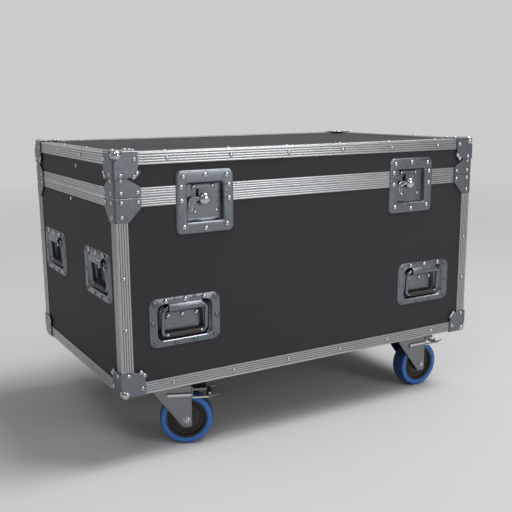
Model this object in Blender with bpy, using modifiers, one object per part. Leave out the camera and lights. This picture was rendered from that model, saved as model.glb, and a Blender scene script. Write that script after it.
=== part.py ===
"""A flight case on four swivel casters, as an assembly of its separate pieces.

Metres, +Z up, the front faces -Y and the origin is on the ground under the middle of the case.
Plywood boards stand inside ribbed aluminium angles. The lid meets the base in a tongue and groove,
turns on two back hinges and is held by two recessed butterfly latches in front.
"""

import math

import bmesh
import bpy
from mathutils import Matrix, Vector

MM = 0.001

# The whole case, over its edge angles
CASE_LENGTH = 800 * MM
CASE_WIDTH = 472 * MM
CASE_HEIGHT = 420 * MM
LID_HEIGHT = 75.6 * MM

# Gaps between neighbours
SEAT_GAP = 0.3 * MM
CUT_CLEARANCE = 0.5 * MM
JOIN_OVERLAP = 0.3 * MM

# Boards
BOARD_THICKNESS = 9 * MM

# Edge angles, ribbed on their outer faces
ANGLE_LEG = 22.4 * MM
ANGLE_THICKNESS = 2.0 * MM
ANGLE_EDGE = 0.5 * MM
ANGLE_SINK = 0.1 * MM
RAIL_PROUD = 0.4 * MM
RIB_GROOVE_COUNT = 4
RIB_GROOVE_WIDTH = 1.8 * MM
RIB_GROOVE_DEPTH = 0.8 * MM

# Rims of the lid and the base where they meet
RIM_FLANGE = 16.4 * MM
RIM_THICKNESS = 1.4 * MM
RIM_SETBACK = 0.6 * MM
RIM_WEB = 2.2 * MM
SEAM_GAP = 0.5 * MM
TONGUE_HEIGHT = 4.0 * MM
TONGUE_FOOT = 3.2 * MM
TONGUE_TIP = 1.8 * MM
GROOVE_CLEARANCE = 0.7 * MM
TONGUE_SHIFT = 0.7 * MM
RIM_GROOVE_COUNT = 3

# Pressed corner braces at the seam
BRACE_REACH = 46 * MM
BRACE_THICKNESS = 1.5 * MM
BRACE_LID_HEIGHT = 32.2 * MM
BRACE_BASE_HEIGHT = 40.9 * MM
BRACE_SHOULDER = 15 * MM
BRACE_BASE_SHOULDER = 25 * MM
BRACE_NECK = 23 * MM

# Ball corners
CORNER_REACH = 43 * MM
CORNER_NOTCH = 26 * MM
CORNER_LOBE = 47.5 * MM
CORNER_LOBE_INNER = 34 * MM
CORNER_LOBE_NOTCH = 3 * MM
CORNER_LOBE_STEP = 2 * MM
CORNER_THICKNESS = 1.5 * MM
BALL_RADIUS = 9.8 * MM
BALL_INSET = 4.8 * MM

# Sprung handles in their dishes
HANDLE_FLANGE_WIDTH = 137 * MM
HANDLE_FLANGE_HEIGHT = 87 * MM
HANDLE_FLANGE_RADIUS = 14 * MM
HANDLE_RECESS_WIDTH = 106 * MM
HANDLE_RECESS_HEIGHT = 65.2 * MM
HANDLE_RECESS_RADIUS = 12 * MM
HANDLE_WALL_SLOPE = 11 * MM
HANDLE_WALL_SLOPE_UP = 5 * MM
HANDLE_DEPTH = 15 * MM
HANDLE_DISH_THICKNESS = 1.5 * MM
HANDLE_FRONT_INSET = 122.5 * MM
HANDLE_FRONT_Z = 122.4 * MM
HANDLE_END_INSET = 106 * MM
HANDLE_END_Z = 200 * MM
BAIL_WIRE_RADIUS = 4.0 * MM
BAIL_SIDE_ROOM = 11 * MM
BAIL_DROP = 50 * MM
BAIL_CORNER_RADIUS = 9 * MM
BAIL_PIVOT_UP = 24.6 * MM
BAIL_PIVOT_DEPTH = 2.0 * MM
BAIL_REST_TILT = 4.0
GRIP_RADIUS = 4.9 * MM
GRIP_END_ROOM = 3 * MM
GRIP_SHOULDER = 0.5 * MM
STRAP_SIDE_CLEARANCE = 0.5 * MM
STRAP_THICKNESS = 1.5 * MM
STRAP_TOP = 18.5 * MM
STRAP_HEEL = 12 * MM
STRAP_TAB_END = 21.6 * MM
STRAP_WRAP_END = 200.0
STRAP_WRAP_STEPS = 6
ROD_CLEARANCE = 0.35 * MM

# Butterfly latches
LATCH_INSET = 165.7 * MM
LATCH_WIDTH = 111 * MM
LATCH_LID_HEIGHT = 40.6 * MM
LATCH_BASE_HEIGHT = 69.4 * MM
LATCH_FLANGE_RADIUS = 9 * MM
LATCH_RECESS_WIDTH = 72 * MM
LATCH_RECESS_UP = 19.4 * MM
LATCH_RECESS_DOWN = 50.4 * MM
LATCH_RECESS_RADIUS = 4 * MM
LATCH_WALL_SLOPE = 5 * MM
LATCH_DEPTH = 10.5 * MM
LATCH_THICKNESS = 1.5 * MM
SPINDLE_DROP = 10.4 * MM
SPINDLE_RADIUS = 10.0 * MM
SPINDLE_SHAFT_RADIUS = 7.0 * MM
SPINDLE_SHAFT = 6.2 * MM
SPINDLE_RIM = 0.8 * MM
SPINDLE_DOME = 5.8 * MM
WING_DIRECTION = 180.0
WING_REACH = 26 * MM
WING_DROP = 20 * MM
WING_THICKNESS = 2.0 * MM
WING_WIDTH = 6.8 * MM
WING_TIP_WIDTH = 1.8 * MM
WING_DEPTH = 2.2 * MM
HOOK_THICKNESS = 2.0 * MM
HOOK_ARM_WIDTH = 3.0 * MM
HOOK_CLEARANCE = 1.4 * MM
HOOK_FOOT = 1.8 * MM
HOOK_REACH = 18.4 * MM
HOOK_LIP = 1.8 * MM
HOOK_LIP_LENGTH = 1.5 * MM
HOOK_DEPTH = 6.4 * MM
HOOK_REST_TILT = 6.0
KEEPER_WIDTH = 44 * MM
KEEPER_HEIGHT = 11.4 * MM
KEEPER_THICKNESS = 1.2 * MM
CATCH_HEIGHT = 3.0 * MM
CATCH_THICKNESS = 2.3 * MM
CATCH_CLEARANCE = 0.4 * MM
LUG_THICKNESS = 2.5 * MM
LUG_HEIGHT = 6 * MM

# Back hinges
HINGE_INSET = 165.7 * MM
HINGE_WIDTH = 64 * MM
HINGE_LEAF = 30 * MM
HINGE_THICKNESS = 1.5 * MM
KNUCKLE_RADIUS = 3.5 * MM
HINGE_PIN_RADIUS = 1.6 * MM
HINGE_PIN_CLEARANCE = 0.4 * MM
KNUCKLE_SHARE = 0.34

# Casters
CASTER_END_INSET = 116 * MM
CASTER_SIDE_INSET = 58 * MM
CASTER_TRAIL = 27 * MM
WHEEL_RADIUS = 50 * MM
WHEEL_WIDTH = 34 * MM
TYRE_DEPTH = 11 * MM
TYRE_SHOULDER = 4 * MM
RIM_BAND = 4 * MM
RIM_STEP = 2 * MM
HUB_WEB_WIDTH = 15.4 * MM
HUB_BOSS_RADIUS = 14 * MM
AXLE_RADIUS = 6 * MM
AXLE_CLEARANCE = 0.3 * MM
AXLE_HEAD_RADIUS = 9 * MM
AXLE_HEAD_HEIGHT = 4 * MM
WHEEL_CROWN_GAP = 16 * MM
FORK_SHEET = 3.0 * MM
FORK_SIDE_CLEARANCE = 2.0 * MM
FORK_TOP_FRONT = 36 * MM
FORK_TOP_BACK = 37 * MM
FORK_FOOT_BELOW_AXLE = 14 * MM
FORK_FOOT_WIDTH = 17 * MM
FORK_SHOULDER = 7 * MM
PLATE_LENGTH = 100 * MM
PLATE_WIDTH = 70 * MM
PLATE_THICKNESS = 3.0 * MM
PLATE_CORNER_RADIUS = 6 * MM
RACE_RADIUS = 28 * MM
RACE_HEIGHT = 6.0 * MM
CROWN_RADIUS = 30 * MM
CROWN_HEIGHT = 2.0 * MM
KINGPIN_RADIUS = 6 * MM
KINGPIN_CLEARANCE = 0.5 * MM
KINGPIN_NUT_RADIUS = 10 * MM
KINGPIN_NUT_HEIGHT = 5 * MM

# Brake pedals of the two front casters, measured from the kingpin and the pedal's pivot
PEDAL_PIVOT_DROP = 30.6 * MM
PEDAL_PIN_RADIUS = 2.5 * MM
PEDAL_SHEET = 2.0 * MM
PEDAL_CHEEK_FRONT = 8 * MM
PEDAL_CHEEK_HALF = 5.2 * MM
PEDAL_ARM_END = 70 * MM
PEDAL_TREAD_WIDTH = 17 * MM
PEDAL_TIP_RISE = 3.6 * MM
PEDAL_POST_TOP = 18 * MM
SHOE_HALF_WIDTH = 17 * MM
SHOE_END = 67 * MM
SHOE_HEIGHT = 7 * MM
SHOE_ABOVE_PIVOT = 6.1 * MM

# Swivel angles in the photograph, turned from the case's length
REST_SWIVEL = {"front_left": -24.0, "front_right": 0.0, "back_right": 0.0, "back_left": 0.0}

# Facets of the round pieces
ROUND_STEPS = 12
WHEEL_STEPS = 20
ARC_STEPS = 3

# What follows from the sizes above
BOARD_INSET = ANGLE_THICKNESS + SEAT_GAP
BOARD_BACK = BOARD_INSET + BOARD_THICKNESS
HANDLE_FRONT_X = CASE_LENGTH / 2 - HANDLE_FRONT_INSET
HANDLE_END_Y = CASE_WIDTH / 2 - HANDLE_END_INSET
LATCH_X = CASE_LENGTH / 2 - LATCH_INSET
HINGE_X = CASE_LENGTH / 2 - HINGE_INSET
CASTER_X = CASE_LENGTH / 2 - CASTER_END_INSET
CASTER_Y = CASE_WIDTH / 2 - CASTER_SIDE_INSET
HOOK_WIDTH = 2 * (SPINDLE_SHAFT_RADIUS + HOOK_CLEARANCE + HOOK_ARM_WIDTH)
BAIL_WIDTH = HANDLE_RECESS_WIDTH - 2 * BAIL_SIDE_ROOM
GRIP_LENGTH = BAIL_WIDTH - 2 * (BAIL_CORNER_RADIUS + GRIP_END_ROOM)
STRAP_WIDTH = BAIL_WIDTH - 2 * BAIL_CORNER_RADIUS - 2 * STRAP_SIDE_CLEARANCE
SEAM = CASE_HEIGHT - LID_HEIGHT
WING_ROOT = SPINDLE_RADIUS + 2 * SEAT_GAP
GROOVE_ROOF = TONGUE_HEIGHT + GROOVE_CLEARANCE
CROWN_BOTTOM = PLATE_THICKNESS - ANGLE_THICKNESS + RACE_HEIGHT + SEAT_GAP + CROWN_HEIGHT + FORK_SHEET
AXLE_DROP = CROWN_BOTTOM + WHEEL_CROWN_GAP + WHEEL_RADIUS - SEAT_GAP
CASE_FLOOR = AXLE_DROP + WHEEL_RADIUS
RIM_TONGUE_INSET = (BOARD_INSET + BOARD_BACK) / 2 + TONGUE_SHIFT
HINGE_AXIS_Y = CASE_WIDTH / 2 - RIM_SETBACK + SEAT_GAP + KNUCKLE_RADIUS

CORNERS = {"front_left": (-1, -1), "front_right": (1, -1), "back_right": (1, 1), "back_left": (-1, 1)}
SIDES = {"left": -1, "right": 1}


def clear_scene():
    for old in list(bpy.data.objects):
        bpy.data.objects.remove(old, do_unlink=True)


def new_collection(name):
    collection = bpy.data.collections.new(name)
    bpy.context.scene.collection.children.link(collection)
    return collection


clear_scene()
PARTS = new_collection("flight_case")
CUTTERS = new_collection("cutters")
CUTTERS.hide_render = True


def new_material(name, colour, roughness, metallic):
    material = bpy.data.materials.new(name)
    material.use_nodes = True
    shader = material.node_tree.nodes["Principled BSDF"]
    shader.inputs["Base Color"].default_value = (*colour, 1)
    shader.inputs["Roughness"].default_value = roughness
    shader.inputs["Metallic"].default_value = metallic
    return material


BOARD = new_material("laminated_board", (0.045, 0.044, 0.047), 0.55, 0)
ALUMINIUM = new_material("ribbed_aluminium", (0.62, 0.63, 0.64), 0.32, 1)
STEEL = new_material("plated_steel", (0.30, 0.33, 0.36), 0.30, 1)
BRIGHT_STEEL = new_material("bright_steel", (0.66, 0.67, 0.68), 0.22, 1)
ZINC = new_material("zinc_sheet", (0.38, 0.40, 0.42), 0.38, 1)
TYRE = new_material("blue_tyre", (0.05, 0.17, 0.46), 0.55, 0)


# Placing


def case_place(across=0.0, along=0.0, up=0.0):
    """A place measured from the middle of the case's underside."""
    return Matrix.Translation((across, along, CASE_FLOOR + up))


def face_place(side, across, up, proud):
    """A place on an outer face: X runs to the right, Y up and Z out, seen by someone facing it."""
    turns = {"front": 0, "right": 90, "back": 180, "left": 270}
    half = CASE_WIDTH / 2 if side in ("front", "back") else CASE_LENGTH / 2
    turn = Matrix.Rotation(math.radians(turns[side]), 4, "Z")
    stand = Matrix.Rotation(math.radians(90), 4, "X")
    return case_place() @ turn @ Matrix.Translation((across, -half - proud, up)) @ stand


# Making shapes


def finish(obj, material, smooth=False):
    obj.data.materials.clear()
    obj.data.materials.append(material)
    if smooth:
        obj.data.shade_smooth()
        obj.data.set_sharp_from_angle(angle=math.radians(35))
    return obj


def object_from(bm, name, place, collection=None):
    mesh = bpy.data.meshes.new(name)
    bm.to_mesh(mesh)
    bm.free()
    obj = bpy.data.objects.new(name, mesh)
    (collection or PARTS).objects.link(obj)
    obj.matrix_world = place
    return obj


def as_helper(obj):
    """Moves a shape that only cuts or joins another into the hidden collection."""
    PARTS.objects.unlink(obj)
    CUTTERS.objects.link(obj)
    obj.hide_render = True
    obj.display_type = "WIRE"
    return obj


def block(name, low, high, place):
    bm = bmesh.new()
    bmesh.ops.create_cube(bm, size=1)
    size = Vector(high) - Vector(low)
    bmesh.ops.scale(bm, vec=size, verts=bm.verts)
    bmesh.ops.translate(bm, vec=Vector(low) + size / 2, verts=bm.verts)
    return object_from(bm, name, place)


def turned(name, profile, place, steps=ROUND_STEPS):
    """A profile of (radius, height) points turned round the place's Z axis."""
    bm = bmesh.new()
    points = [bm.verts.new((radius, 0, height)) for radius, height in profile]
    closed = profile[0][0] > 0
    for first, second in zip(points, points[1:] + points[:1] if closed else points[1:]):
        bm.edges.new((first, second))
    obj = object_from(bm, name, place)
    screw = obj.modifiers.new("turn", "SCREW")
    screw.steps = steps
    screw.render_steps = steps
    screw.use_merge_vertices = True
    screw.merge_threshold = 1e-6
    return obj


def rod(name, radius, low, high, place, steps=ROUND_STEPS):
    return turned(name, [(0, high), (radius, high), (radius, low), (0, low)], place, steps)


def made_mesh(obj):
    """The evaluated shape as a plain mesh object in the same place."""
    graph = bpy.context.evaluated_depsgraph_get()
    mesh = bpy.data.meshes.new_from_object(obj.evaluated_get(graph))
    bm = bmesh.new()
    bm.from_mesh(mesh)
    bmesh.ops.remove_doubles(bm, verts=bm.verts, dist=1e-6)
    bm.to_mesh(mesh)
    bm.free()
    name, place, users = obj.name, obj.matrix_world.copy(), obj.users_collection[0]
    bpy.data.objects.remove(obj)
    made = bpy.data.objects.new(name, mesh)
    users.objects.link(made)
    made.matrix_world = place
    return made


def extruded(name, outline, low, high, place):
    """A closed outline of (x, y) points, filled and carried from z low to z high."""
    curve = bpy.data.curves.new(name, "CURVE")
    curve.dimensions = "2D"
    curve.fill_mode = "BOTH"
    curve.extrude = (high - low) / 2
    spline = curve.splines.new("POLY")
    spline.points.add(len(outline) - 1)
    for point, (x, y) in zip(spline.points, outline):
        point.co = (x, y, 0, 1)
    spline.use_cyclic_u = True
    obj = bpy.data.objects.new(name, curve)
    PARTS.objects.link(obj)
    obj.matrix_world = place @ Matrix.Translation((0, 0, (low + high) / 2))
    bpy.context.view_layer.update()
    return made_mesh(obj)


def shell(name, loops, thickness, place, fill=True):
    """Loops of equally many points joined into an open surface, then given a wall behind it."""
    bm = bmesh.new()
    rings = [[bm.verts.new(point) for point in loop] for loop in loops]
    for outer, inner in zip(rings, rings[1:]):
        for k in range(len(outer)):
            bm.faces.new((outer[k - 1], outer[k], inner[k], inner[k - 1]))
    if fill:
        bm.faces.new(rings[-1])
    obj = object_from(bm, name, place)
    wall = obj.modifiers.new("wall", "SOLIDIFY")
    wall.thickness = thickness
    wall.offset = -1
    wall.use_even_offset = True
    return obj


def bent_sheet(name, line, width, thickness, place):
    """A strip of sheet bent along a line of (up, out) points, as wide as given across X."""
    bm = bmesh.new()
    edges = [[bm.verts.new((side * width / 2, up, out)) for side in (-1, 1)] for up, out in line]
    for first, second in zip(edges, edges[1:]):
        bm.faces.new((first[0], first[1], second[1], second[0]))
    obj = object_from(bm, name, place)
    wall = obj.modifiers.new("wall", "SOLIDIFY")
    wall.thickness = thickness
    wall.offset = 0
    wall.use_even_offset = True
    return obj


def mitred_ring(name, profile, place):
    """A closed profile of (inset, height) points carried round the case, mitred at its corners."""
    bm = bmesh.new()
    rings = []
    for inset, height in profile:
        half_x = CASE_LENGTH / 2 - inset
        half_y = CASE_WIDTH / 2 - inset
        rings.append([bm.verts.new((x * half_x, y * half_y, height)) for x, y in CORNERS.values()])
    for here, there in zip(rings, rings[1:] + rings[:1]):
        for k in range(4):
            bm.faces.new((here[k - 1], here[k], there[k], there[k - 1]))
    bmesh.ops.recalc_face_normals(bm, faces=bm.faces)
    return object_from(bm, name, place)


def cut(obj, *cutters):
    combine(obj, "DIFFERENCE", cutters)


def join(obj, *others):
    combine(obj, "UNION", others)


def combine(obj, operation, others):
    for other in others:
        if other.name not in CUTTERS.objects:
            as_helper(other)
        boolean = obj.modifiers.new(operation.lower(), "BOOLEAN")
        boolean.operation = operation
        boolean.object = other


# Outlines


def arc(centre, radius, start, end, steps):
    """Points on an arc, from one angle to another in degrees."""
    angles = [math.radians(start + (end - start) * k / steps) for k in range(steps + 1)]
    return [(centre[0] + radius * math.cos(a), centre[1] + radius * math.sin(a)) for a in angles]


def rounded_rectangle(low, high, radius, steps=ARC_STEPS):
    """The outline of a rectangle between two corners, with round corners, anticlockwise."""
    (x0, y0), (x1, y1) = low, high
    outline = arc((x1 - radius, y0 + radius), radius, -90, 0, steps)
    outline += arc((x1 - radius, y1 - radius), radius, 0, 90, steps)
    outline += arc((x0 + radius, y1 - radius), radius, 90, 180, steps)
    outline += arc((x0 + radius, y0 + radius), radius, 180, 270, steps)
    return outline


def grooved(start, end, grooves, inward):
    """A straight edge from start to end with evenly spaced V grooves cut along inward."""
    start, end, inward = Vector(start), Vector(end), Vector(inward)
    run = (end - start).normalized()
    pitch = (end - start).length / (grooves + 1)
    points = [tuple(start)]
    for k in range(1, grooves + 1):
        middle = start + run * pitch * k
        points.append(tuple(middle - run * RIB_GROOVE_WIDTH / 2))
        points.append(tuple(middle + inward * RIB_GROOVE_DEPTH))
        points.append(tuple(middle + run * RIB_GROOVE_WIDTH / 2))
    points.append(tuple(end))
    return points


# Boards


def make_base_boards():
    long_half = CASE_LENGTH / 2 - BOARD_INSET
    short_half = CASE_WIDTH / 2 - BOARD_INSET
    inner_x = long_half - BOARD_THICKNESS
    inner_y = short_half - BOARD_THICKNESS
    low = BOARD_INSET
    high = SEAM - SEAM_GAP / 2 - RIM_WEB - SEAT_GAP
    between = inner_y - SEAT_GAP
    boards = {
        "front": ((-long_half, -short_half, low), (long_half, -inner_y, high)),
        "back": ((-long_half, inner_y, low), (long_half, short_half, high)),
        "left": ((-long_half, -between, low), (-inner_x, between, high)),
        "right": ((inner_x, -between, low), (long_half, between, high)),
    }
    made = {}
    for side, (start, end) in boards.items():
        made[side] = finish(block(f"base_{side}_panel", start, end, case_place()), BOARD)
    floor_low = (-inner_x + SEAT_GAP, -between, low)
    floor_high = (inner_x - SEAT_GAP, between, low + BOARD_THICKNESS)
    finish(block("base_floor_panel", floor_low, floor_high, case_place()), BOARD)
    return made


def make_lid_boards():
    low = SEAM + SEAM_GAP / 2 + GROOVE_ROOF + RIM_WEB / 2 + SEAT_GAP
    high = CASE_HEIGHT - BOARD_INSET - BOARD_THICKNESS - SEAT_GAP
    profile = [(BOARD_INSET, low), (BOARD_BACK, low), (BOARD_BACK, high), (BOARD_INSET, high)]
    wall = finish(mitred_ring("lid_wall", profile, case_place()), BOARD)
    half_x = CASE_LENGTH / 2 - BOARD_INSET
    half_y = CASE_WIDTH / 2 - BOARD_INSET
    top = CASE_HEIGHT - BOARD_INSET
    corners = ((-half_x, -half_y, top - BOARD_THICKNESS), (half_x, half_y, top))
    finish(block("lid_top_panel", *corners, case_place()), BOARD)
    return wall


# Ribbed angles


def angle_profile(flip):
    """The edge angle's section as (inset, height) points. flip measures height down from the lid's top."""
    proud = RAIL_PROUD
    inner = ANGLE_THICKNESS - ANGLE_SINK
    outer_face = grooved((-proud, ANGLE_LEG), (-proud, ANGLE_EDGE), RIB_GROOVE_COUNT, (1, 0))
    flat_face = grooved((ANGLE_EDGE, -proud), (ANGLE_LEG, -proud), RIB_GROOVE_COUNT, (0, 1))
    profile = outer_face + flat_face + [(ANGLE_LEG, inner), (inner, inner), (inner, ANGLE_LEG)]
    if not flip:
        return profile
    return [(inset, CASE_HEIGHT - height) for inset, height in profile]


def stile_outline():
    """The upright angle in plan, with its corner at the origin and its legs along +X and +Y."""
    first = grooved((ANGLE_LEG, 0), (ANGLE_EDGE, 0), RIB_GROOVE_COUNT, (0, 1))
    second = grooved((0, ANGLE_EDGE), (0, ANGLE_LEG), RIB_GROOVE_COUNT, (1, 0))
    inner = ANGLE_THICKNESS
    return first + second + [(inner, ANGLE_LEG), (inner, inner), (ANGLE_LEG, inner)]


def corner_place(corner, proud=0.0, up=0.0):
    """A place at an upright corner of the case, turned so that +X and +Y run along its two faces."""
    x, y = CORNERS[corner]
    turn = Matrix.Rotation(math.radians(90 * list(CORNERS).index(corner)), 4, "Z")
    spot = (x * (CASE_LENGTH / 2 + proud), y * (CASE_WIDTH / 2 + proud), CASE_FLOOR + up)
    return Matrix.Translation(spot) @ turn


def folded_plate(name, outline, proud, thickness, place):
    """A flat outline of (along, up) points on both faces of an upright corner, folded at the corner."""
    bm = bmesh.new()
    inset = -proud
    on_front = [bm.verts.new((along + inset, inset, up)) for along, up in outline]
    on_end = [bm.verts.new((inset, along + inset, up)) for along, up in outline]
    bm.faces.new(on_front)
    bm.faces.new(list(reversed(on_end)))
    bmesh.ops.remove_doubles(bm, verts=bm.verts, dist=1e-6)
    obj = object_from(bm, name, place)
    wall = obj.modifiers.new("wall", "SOLIDIFY")
    wall.thickness = thickness
    wall.offset = 1
    wall.use_even_offset = True
    return obj


def base_brace_outline():
    top = SEAM - SEAM_GAP
    low = SEAM - BRACE_BASE_HEIGHT
    shoulder = low + BRACE_BASE_SHOULDER
    return [(0, low), (BRACE_NECK, low), (BRACE_REACH, shoulder), (BRACE_REACH, top), (0, top)]


def lid_brace_outline():
    low = SEAM + SEAM_GAP
    top = SEAM + BRACE_LID_HEIGHT
    shoulder = top - BRACE_SHOULDER
    return [(0, low), (BRACE_REACH, low), (BRACE_REACH, shoulder), (BRACE_NECK, top), (0, top)]


def make_edge_frame(name, flip, stile_low, stile_high, brace_outline):
    """The angles round one end of the case, its four upright angles and its four corner braces."""
    frame = mitred_ring(name, angle_profile(flip), case_place())
    for corner in CORNERS:
        place = corner_place(corner)
        stile = extruded(f"{name}_stile_{corner}", stile_outline(), stile_low, stile_high, place)
        brace = folded_plate(
            f"{name}_brace_{corner}", brace_outline, -JOIN_OVERLAP, BRACE_THICKNESS, place
        )
        join(frame, stile, brace)
    return finish(frame, ALUMINIUM)


# Tongue and groove rims

def base_rim_profile():
    """Outer flange, web over the board's edge with the tongue on it, and inner flange."""
    top = SEAM - SEAM_GAP / 2
    low = SEAM - RIM_FLANGE
    outer = RIM_SETBACK
    inner = outer + RIM_THICKNESS
    back = BOARD_BACK + SEAT_GAP
    tongue = RIM_TONGUE_INSET
    points = grooved((outer, low), (outer, top), RIM_GROOVE_COUNT, (1, 0))
    points += [(tongue - TONGUE_FOOT / 2, top), (tongue - TONGUE_TIP / 2, top + TONGUE_HEIGHT)]
    points += [(tongue + TONGUE_TIP / 2, top + TONGUE_HEIGHT), (tongue + TONGUE_FOOT / 2, top)]
    points += [(back + RIM_THICKNESS, top), (back + RIM_THICKNESS, low), (back, low)]
    points += [(back, top - RIM_WEB), (inner, top - RIM_WEB), (inner, low)]
    return points


def lid_rim_profile():
    """Outer flange, a channel that takes the tongue, and inner flange."""
    low = SEAM + SEAM_GAP / 2
    top = SEAM + RIM_FLANGE
    outer = RIM_SETBACK
    inner = outer + RIM_THICKNESS
    back = BOARD_BACK + SEAT_GAP
    tongue = RIM_TONGUE_INSET
    roof = low + GROOVE_ROOF
    web = roof + RIM_WEB / 2
    mouth = TONGUE_FOOT / 2 + GROOVE_CLEARANCE
    points = grooved((outer, top), (outer, low), RIM_GROOVE_COUNT, (1, 0))
    points += [(tongue - mouth, low), (tongue - mouth, roof), (tongue + mouth, roof)]
    points += [(tongue + mouth, low), (back + RIM_THICKNESS, low), (back + RIM_THICKNESS, top)]
    points += [(back, top), (back, web), (inner, web), (inner, top)]
    return points


def make_base_rim():
    """The base's rim in two pieces with the latches' slots between them: the front's middle and the rest."""
    near = LATCH_X - latch_slot_half()
    far = LATCH_X + latch_slot_half()
    face = -CASE_WIDTH / 2
    depth = BOARD_BACK + SEAT_GAP + RIM_THICKNESS + CUT_CLEARANCE
    profile = base_rim_profile()
    ring = mitred_ring("base_rim_frame", profile, case_place())
    low = (-far, face - CUT_CLEARANCE, SEAM - RIM_FLANGE - CUT_CLEARANCE)
    high = (far, face + depth, SEAM + RIM_FLANGE)
    cut(ring, block("base_rim_gap", low, high, case_place()))
    finish(ring, ALUMINIUM)
    # X of the profile runs back from the front face, Y runs up, and Z runs along the case.
    along_front = case_place(along=face) @ Matrix(((0, 0, 1, 0), (1, 0, 0, 0), (0, 1, 0, 0), (0, 0, 0, 1)))
    finish(extruded("base_rim_front", profile, -near, near, along_front), ALUMINIUM)


# Ball corners


def flange_outline():
    """One flange of a ball corner: a square with a lobe on its diagonal that takes two rivets."""
    notch = CORNER_LOBE_NOTCH
    step = CORNER_LOBE_STEP
    return [
        (0, 0),
        (CORNER_REACH, 0),
        (CORNER_REACH, CORNER_NOTCH),
        (CORNER_REACH - step, CORNER_NOTCH + notch),
        (CORNER_LOBE, CORNER_LOBE_INNER),
        (CORNER_LOBE_INNER, CORNER_LOBE),
        (CORNER_NOTCH + notch, CORNER_REACH - step),
        (CORNER_NOTCH, CORNER_REACH),
        (0, CORNER_REACH),
    ]


def ball_corner_mesh():
    """Three flanges folded from one sheet with a ball pressed at their meeting, made at the origin."""
    bm = bmesh.new()
    axes = (Vector((1, 0, 0)), Vector((0, 0, 1)), Vector((0, 1, 0)))
    for first, second in zip(axes, axes[1:] + axes[:1]):
        bm.faces.new([bm.verts.new(first * a + second * b) for a, b in flange_outline()])
    bmesh.ops.remove_doubles(bm, verts=bm.verts, dist=1e-6)
    corner = object_from(bm, "ball_corner_pattern", Matrix())
    wall = corner.modifiers.new("wall", "SOLIDIFY")
    wall.thickness = CORNER_THICKNESS
    wall.offset = 1
    wall.use_even_offset = True
    centre = BALL_INSET + RAIL_PROUD + SEAT_GAP
    far = BALL_RADIUS * 4
    notch = block("ball_notch", (-far, -far, -far), (centre, centre, centre), Matrix())
    bm = bmesh.new()
    bmesh.ops.create_uvsphere(bm, u_segments=12, v_segments=7, radius=BALL_RADIUS)
    ball = object_from(bm, "ball", Matrix.Translation((centre, centre, centre)))
    skin = -CORNER_THICKNESS / 2
    cut(ball, block("ball_hollow", (skin, skin, skin), (far, far, far), Matrix()))
    cut(corner, notch)
    join(corner, ball)
    bpy.context.view_layer.update()
    pattern = made_mesh(corner)
    mesh = pattern.data
    bpy.data.objects.remove(pattern)
    return mesh


def make_ball_corners():
    mesh = ball_corner_mesh()
    proud = RAIL_PROUD + SEAT_GAP
    for corner in CORNERS:
        lower = bpy.data.objects.new(f"base_ball_corner_{corner}", mesh)
        PARTS.objects.link(lower)
        lower.matrix_world = corner_place(corner, proud, -proud)
        finish(lower, STEEL)
    # Turned half over, the same pressing fits the lid.
    over = Matrix.Rotation(math.radians(180), 4, "X") @ Matrix.Rotation(math.radians(-90), 4, "Z")
    for corner in CORNERS:
        upper = bpy.data.objects.new(f"lid_ball_corner_{corner}", mesh)
        PARTS.objects.link(upper)
        upper.matrix_world = corner_place(corner, proud, CASE_HEIGHT + proud) @ over
        finish(upper, STEEL)


# Handles


def handle_spots():
    """Each handle's name, side of the case, and place on it to the right and up."""
    return {
        "front_left": ("front", -HANDLE_FRONT_X, HANDLE_FRONT_Z),
        "front_right": ("front", HANDLE_FRONT_X, HANDLE_FRONT_Z),
        "left_front": ("left", HANDLE_END_Y, HANDLE_END_Z),
        "left_back": ("left", -HANDLE_END_Y, HANDLE_END_Z),
        "right_front": ("right", -HANDLE_END_Y, HANDLE_END_Z),
        "right_back": ("right", HANDLE_END_Y, HANDLE_END_Z),
    }


def handle_dish_place(side, across, up):
    """The middle of the dish's outer face, which stands off the board by its own thickness."""
    return face_place(side, across, up, HANDLE_DISH_THICKNESS + SEAT_GAP - BOARD_INSET)


def recess_low_high(width, height, margin=0.0):
    half_x = width / 2 + margin
    half_y = height / 2 + margin
    return (-half_x, -half_y), (half_x, half_y)


def make_handle_dish(name, place):
    flange = rounded_rectangle(
        *recess_low_high(HANDLE_FLANGE_WIDTH, HANDLE_FLANGE_HEIGHT), HANDLE_FLANGE_RADIUS
    )
    lip = rounded_rectangle(
        *recess_low_high(HANDLE_RECESS_WIDTH, HANDLE_RECESS_HEIGHT), HANDLE_RECESS_RADIUS
    )
    floor_x = HANDLE_RECESS_WIDTH / 2 - HANDLE_WALL_SLOPE
    floor_y = HANDLE_RECESS_HEIGHT / 2 - HANDLE_WALL_SLOPE_UP
    floor = rounded_rectangle((-floor_x, -floor_y), (floor_x, floor_y), HANDLE_RECESS_RADIUS / 2)
    loops = [
        [(x, y, 0) for x, y in flange],
        [(x, y, 0) for x, y in lip],
        [(x, y, -HANDLE_DEPTH) for x, y in floor],
    ]
    dish = shell(name, loops, HANDLE_DISH_THICKNESS, place)
    join(dish, bent_sheet(f"{name}_strap", strap_line(), STRAP_WIDTH, STRAP_THICKNESS, place))
    return finish(dish, STEEL)


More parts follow.
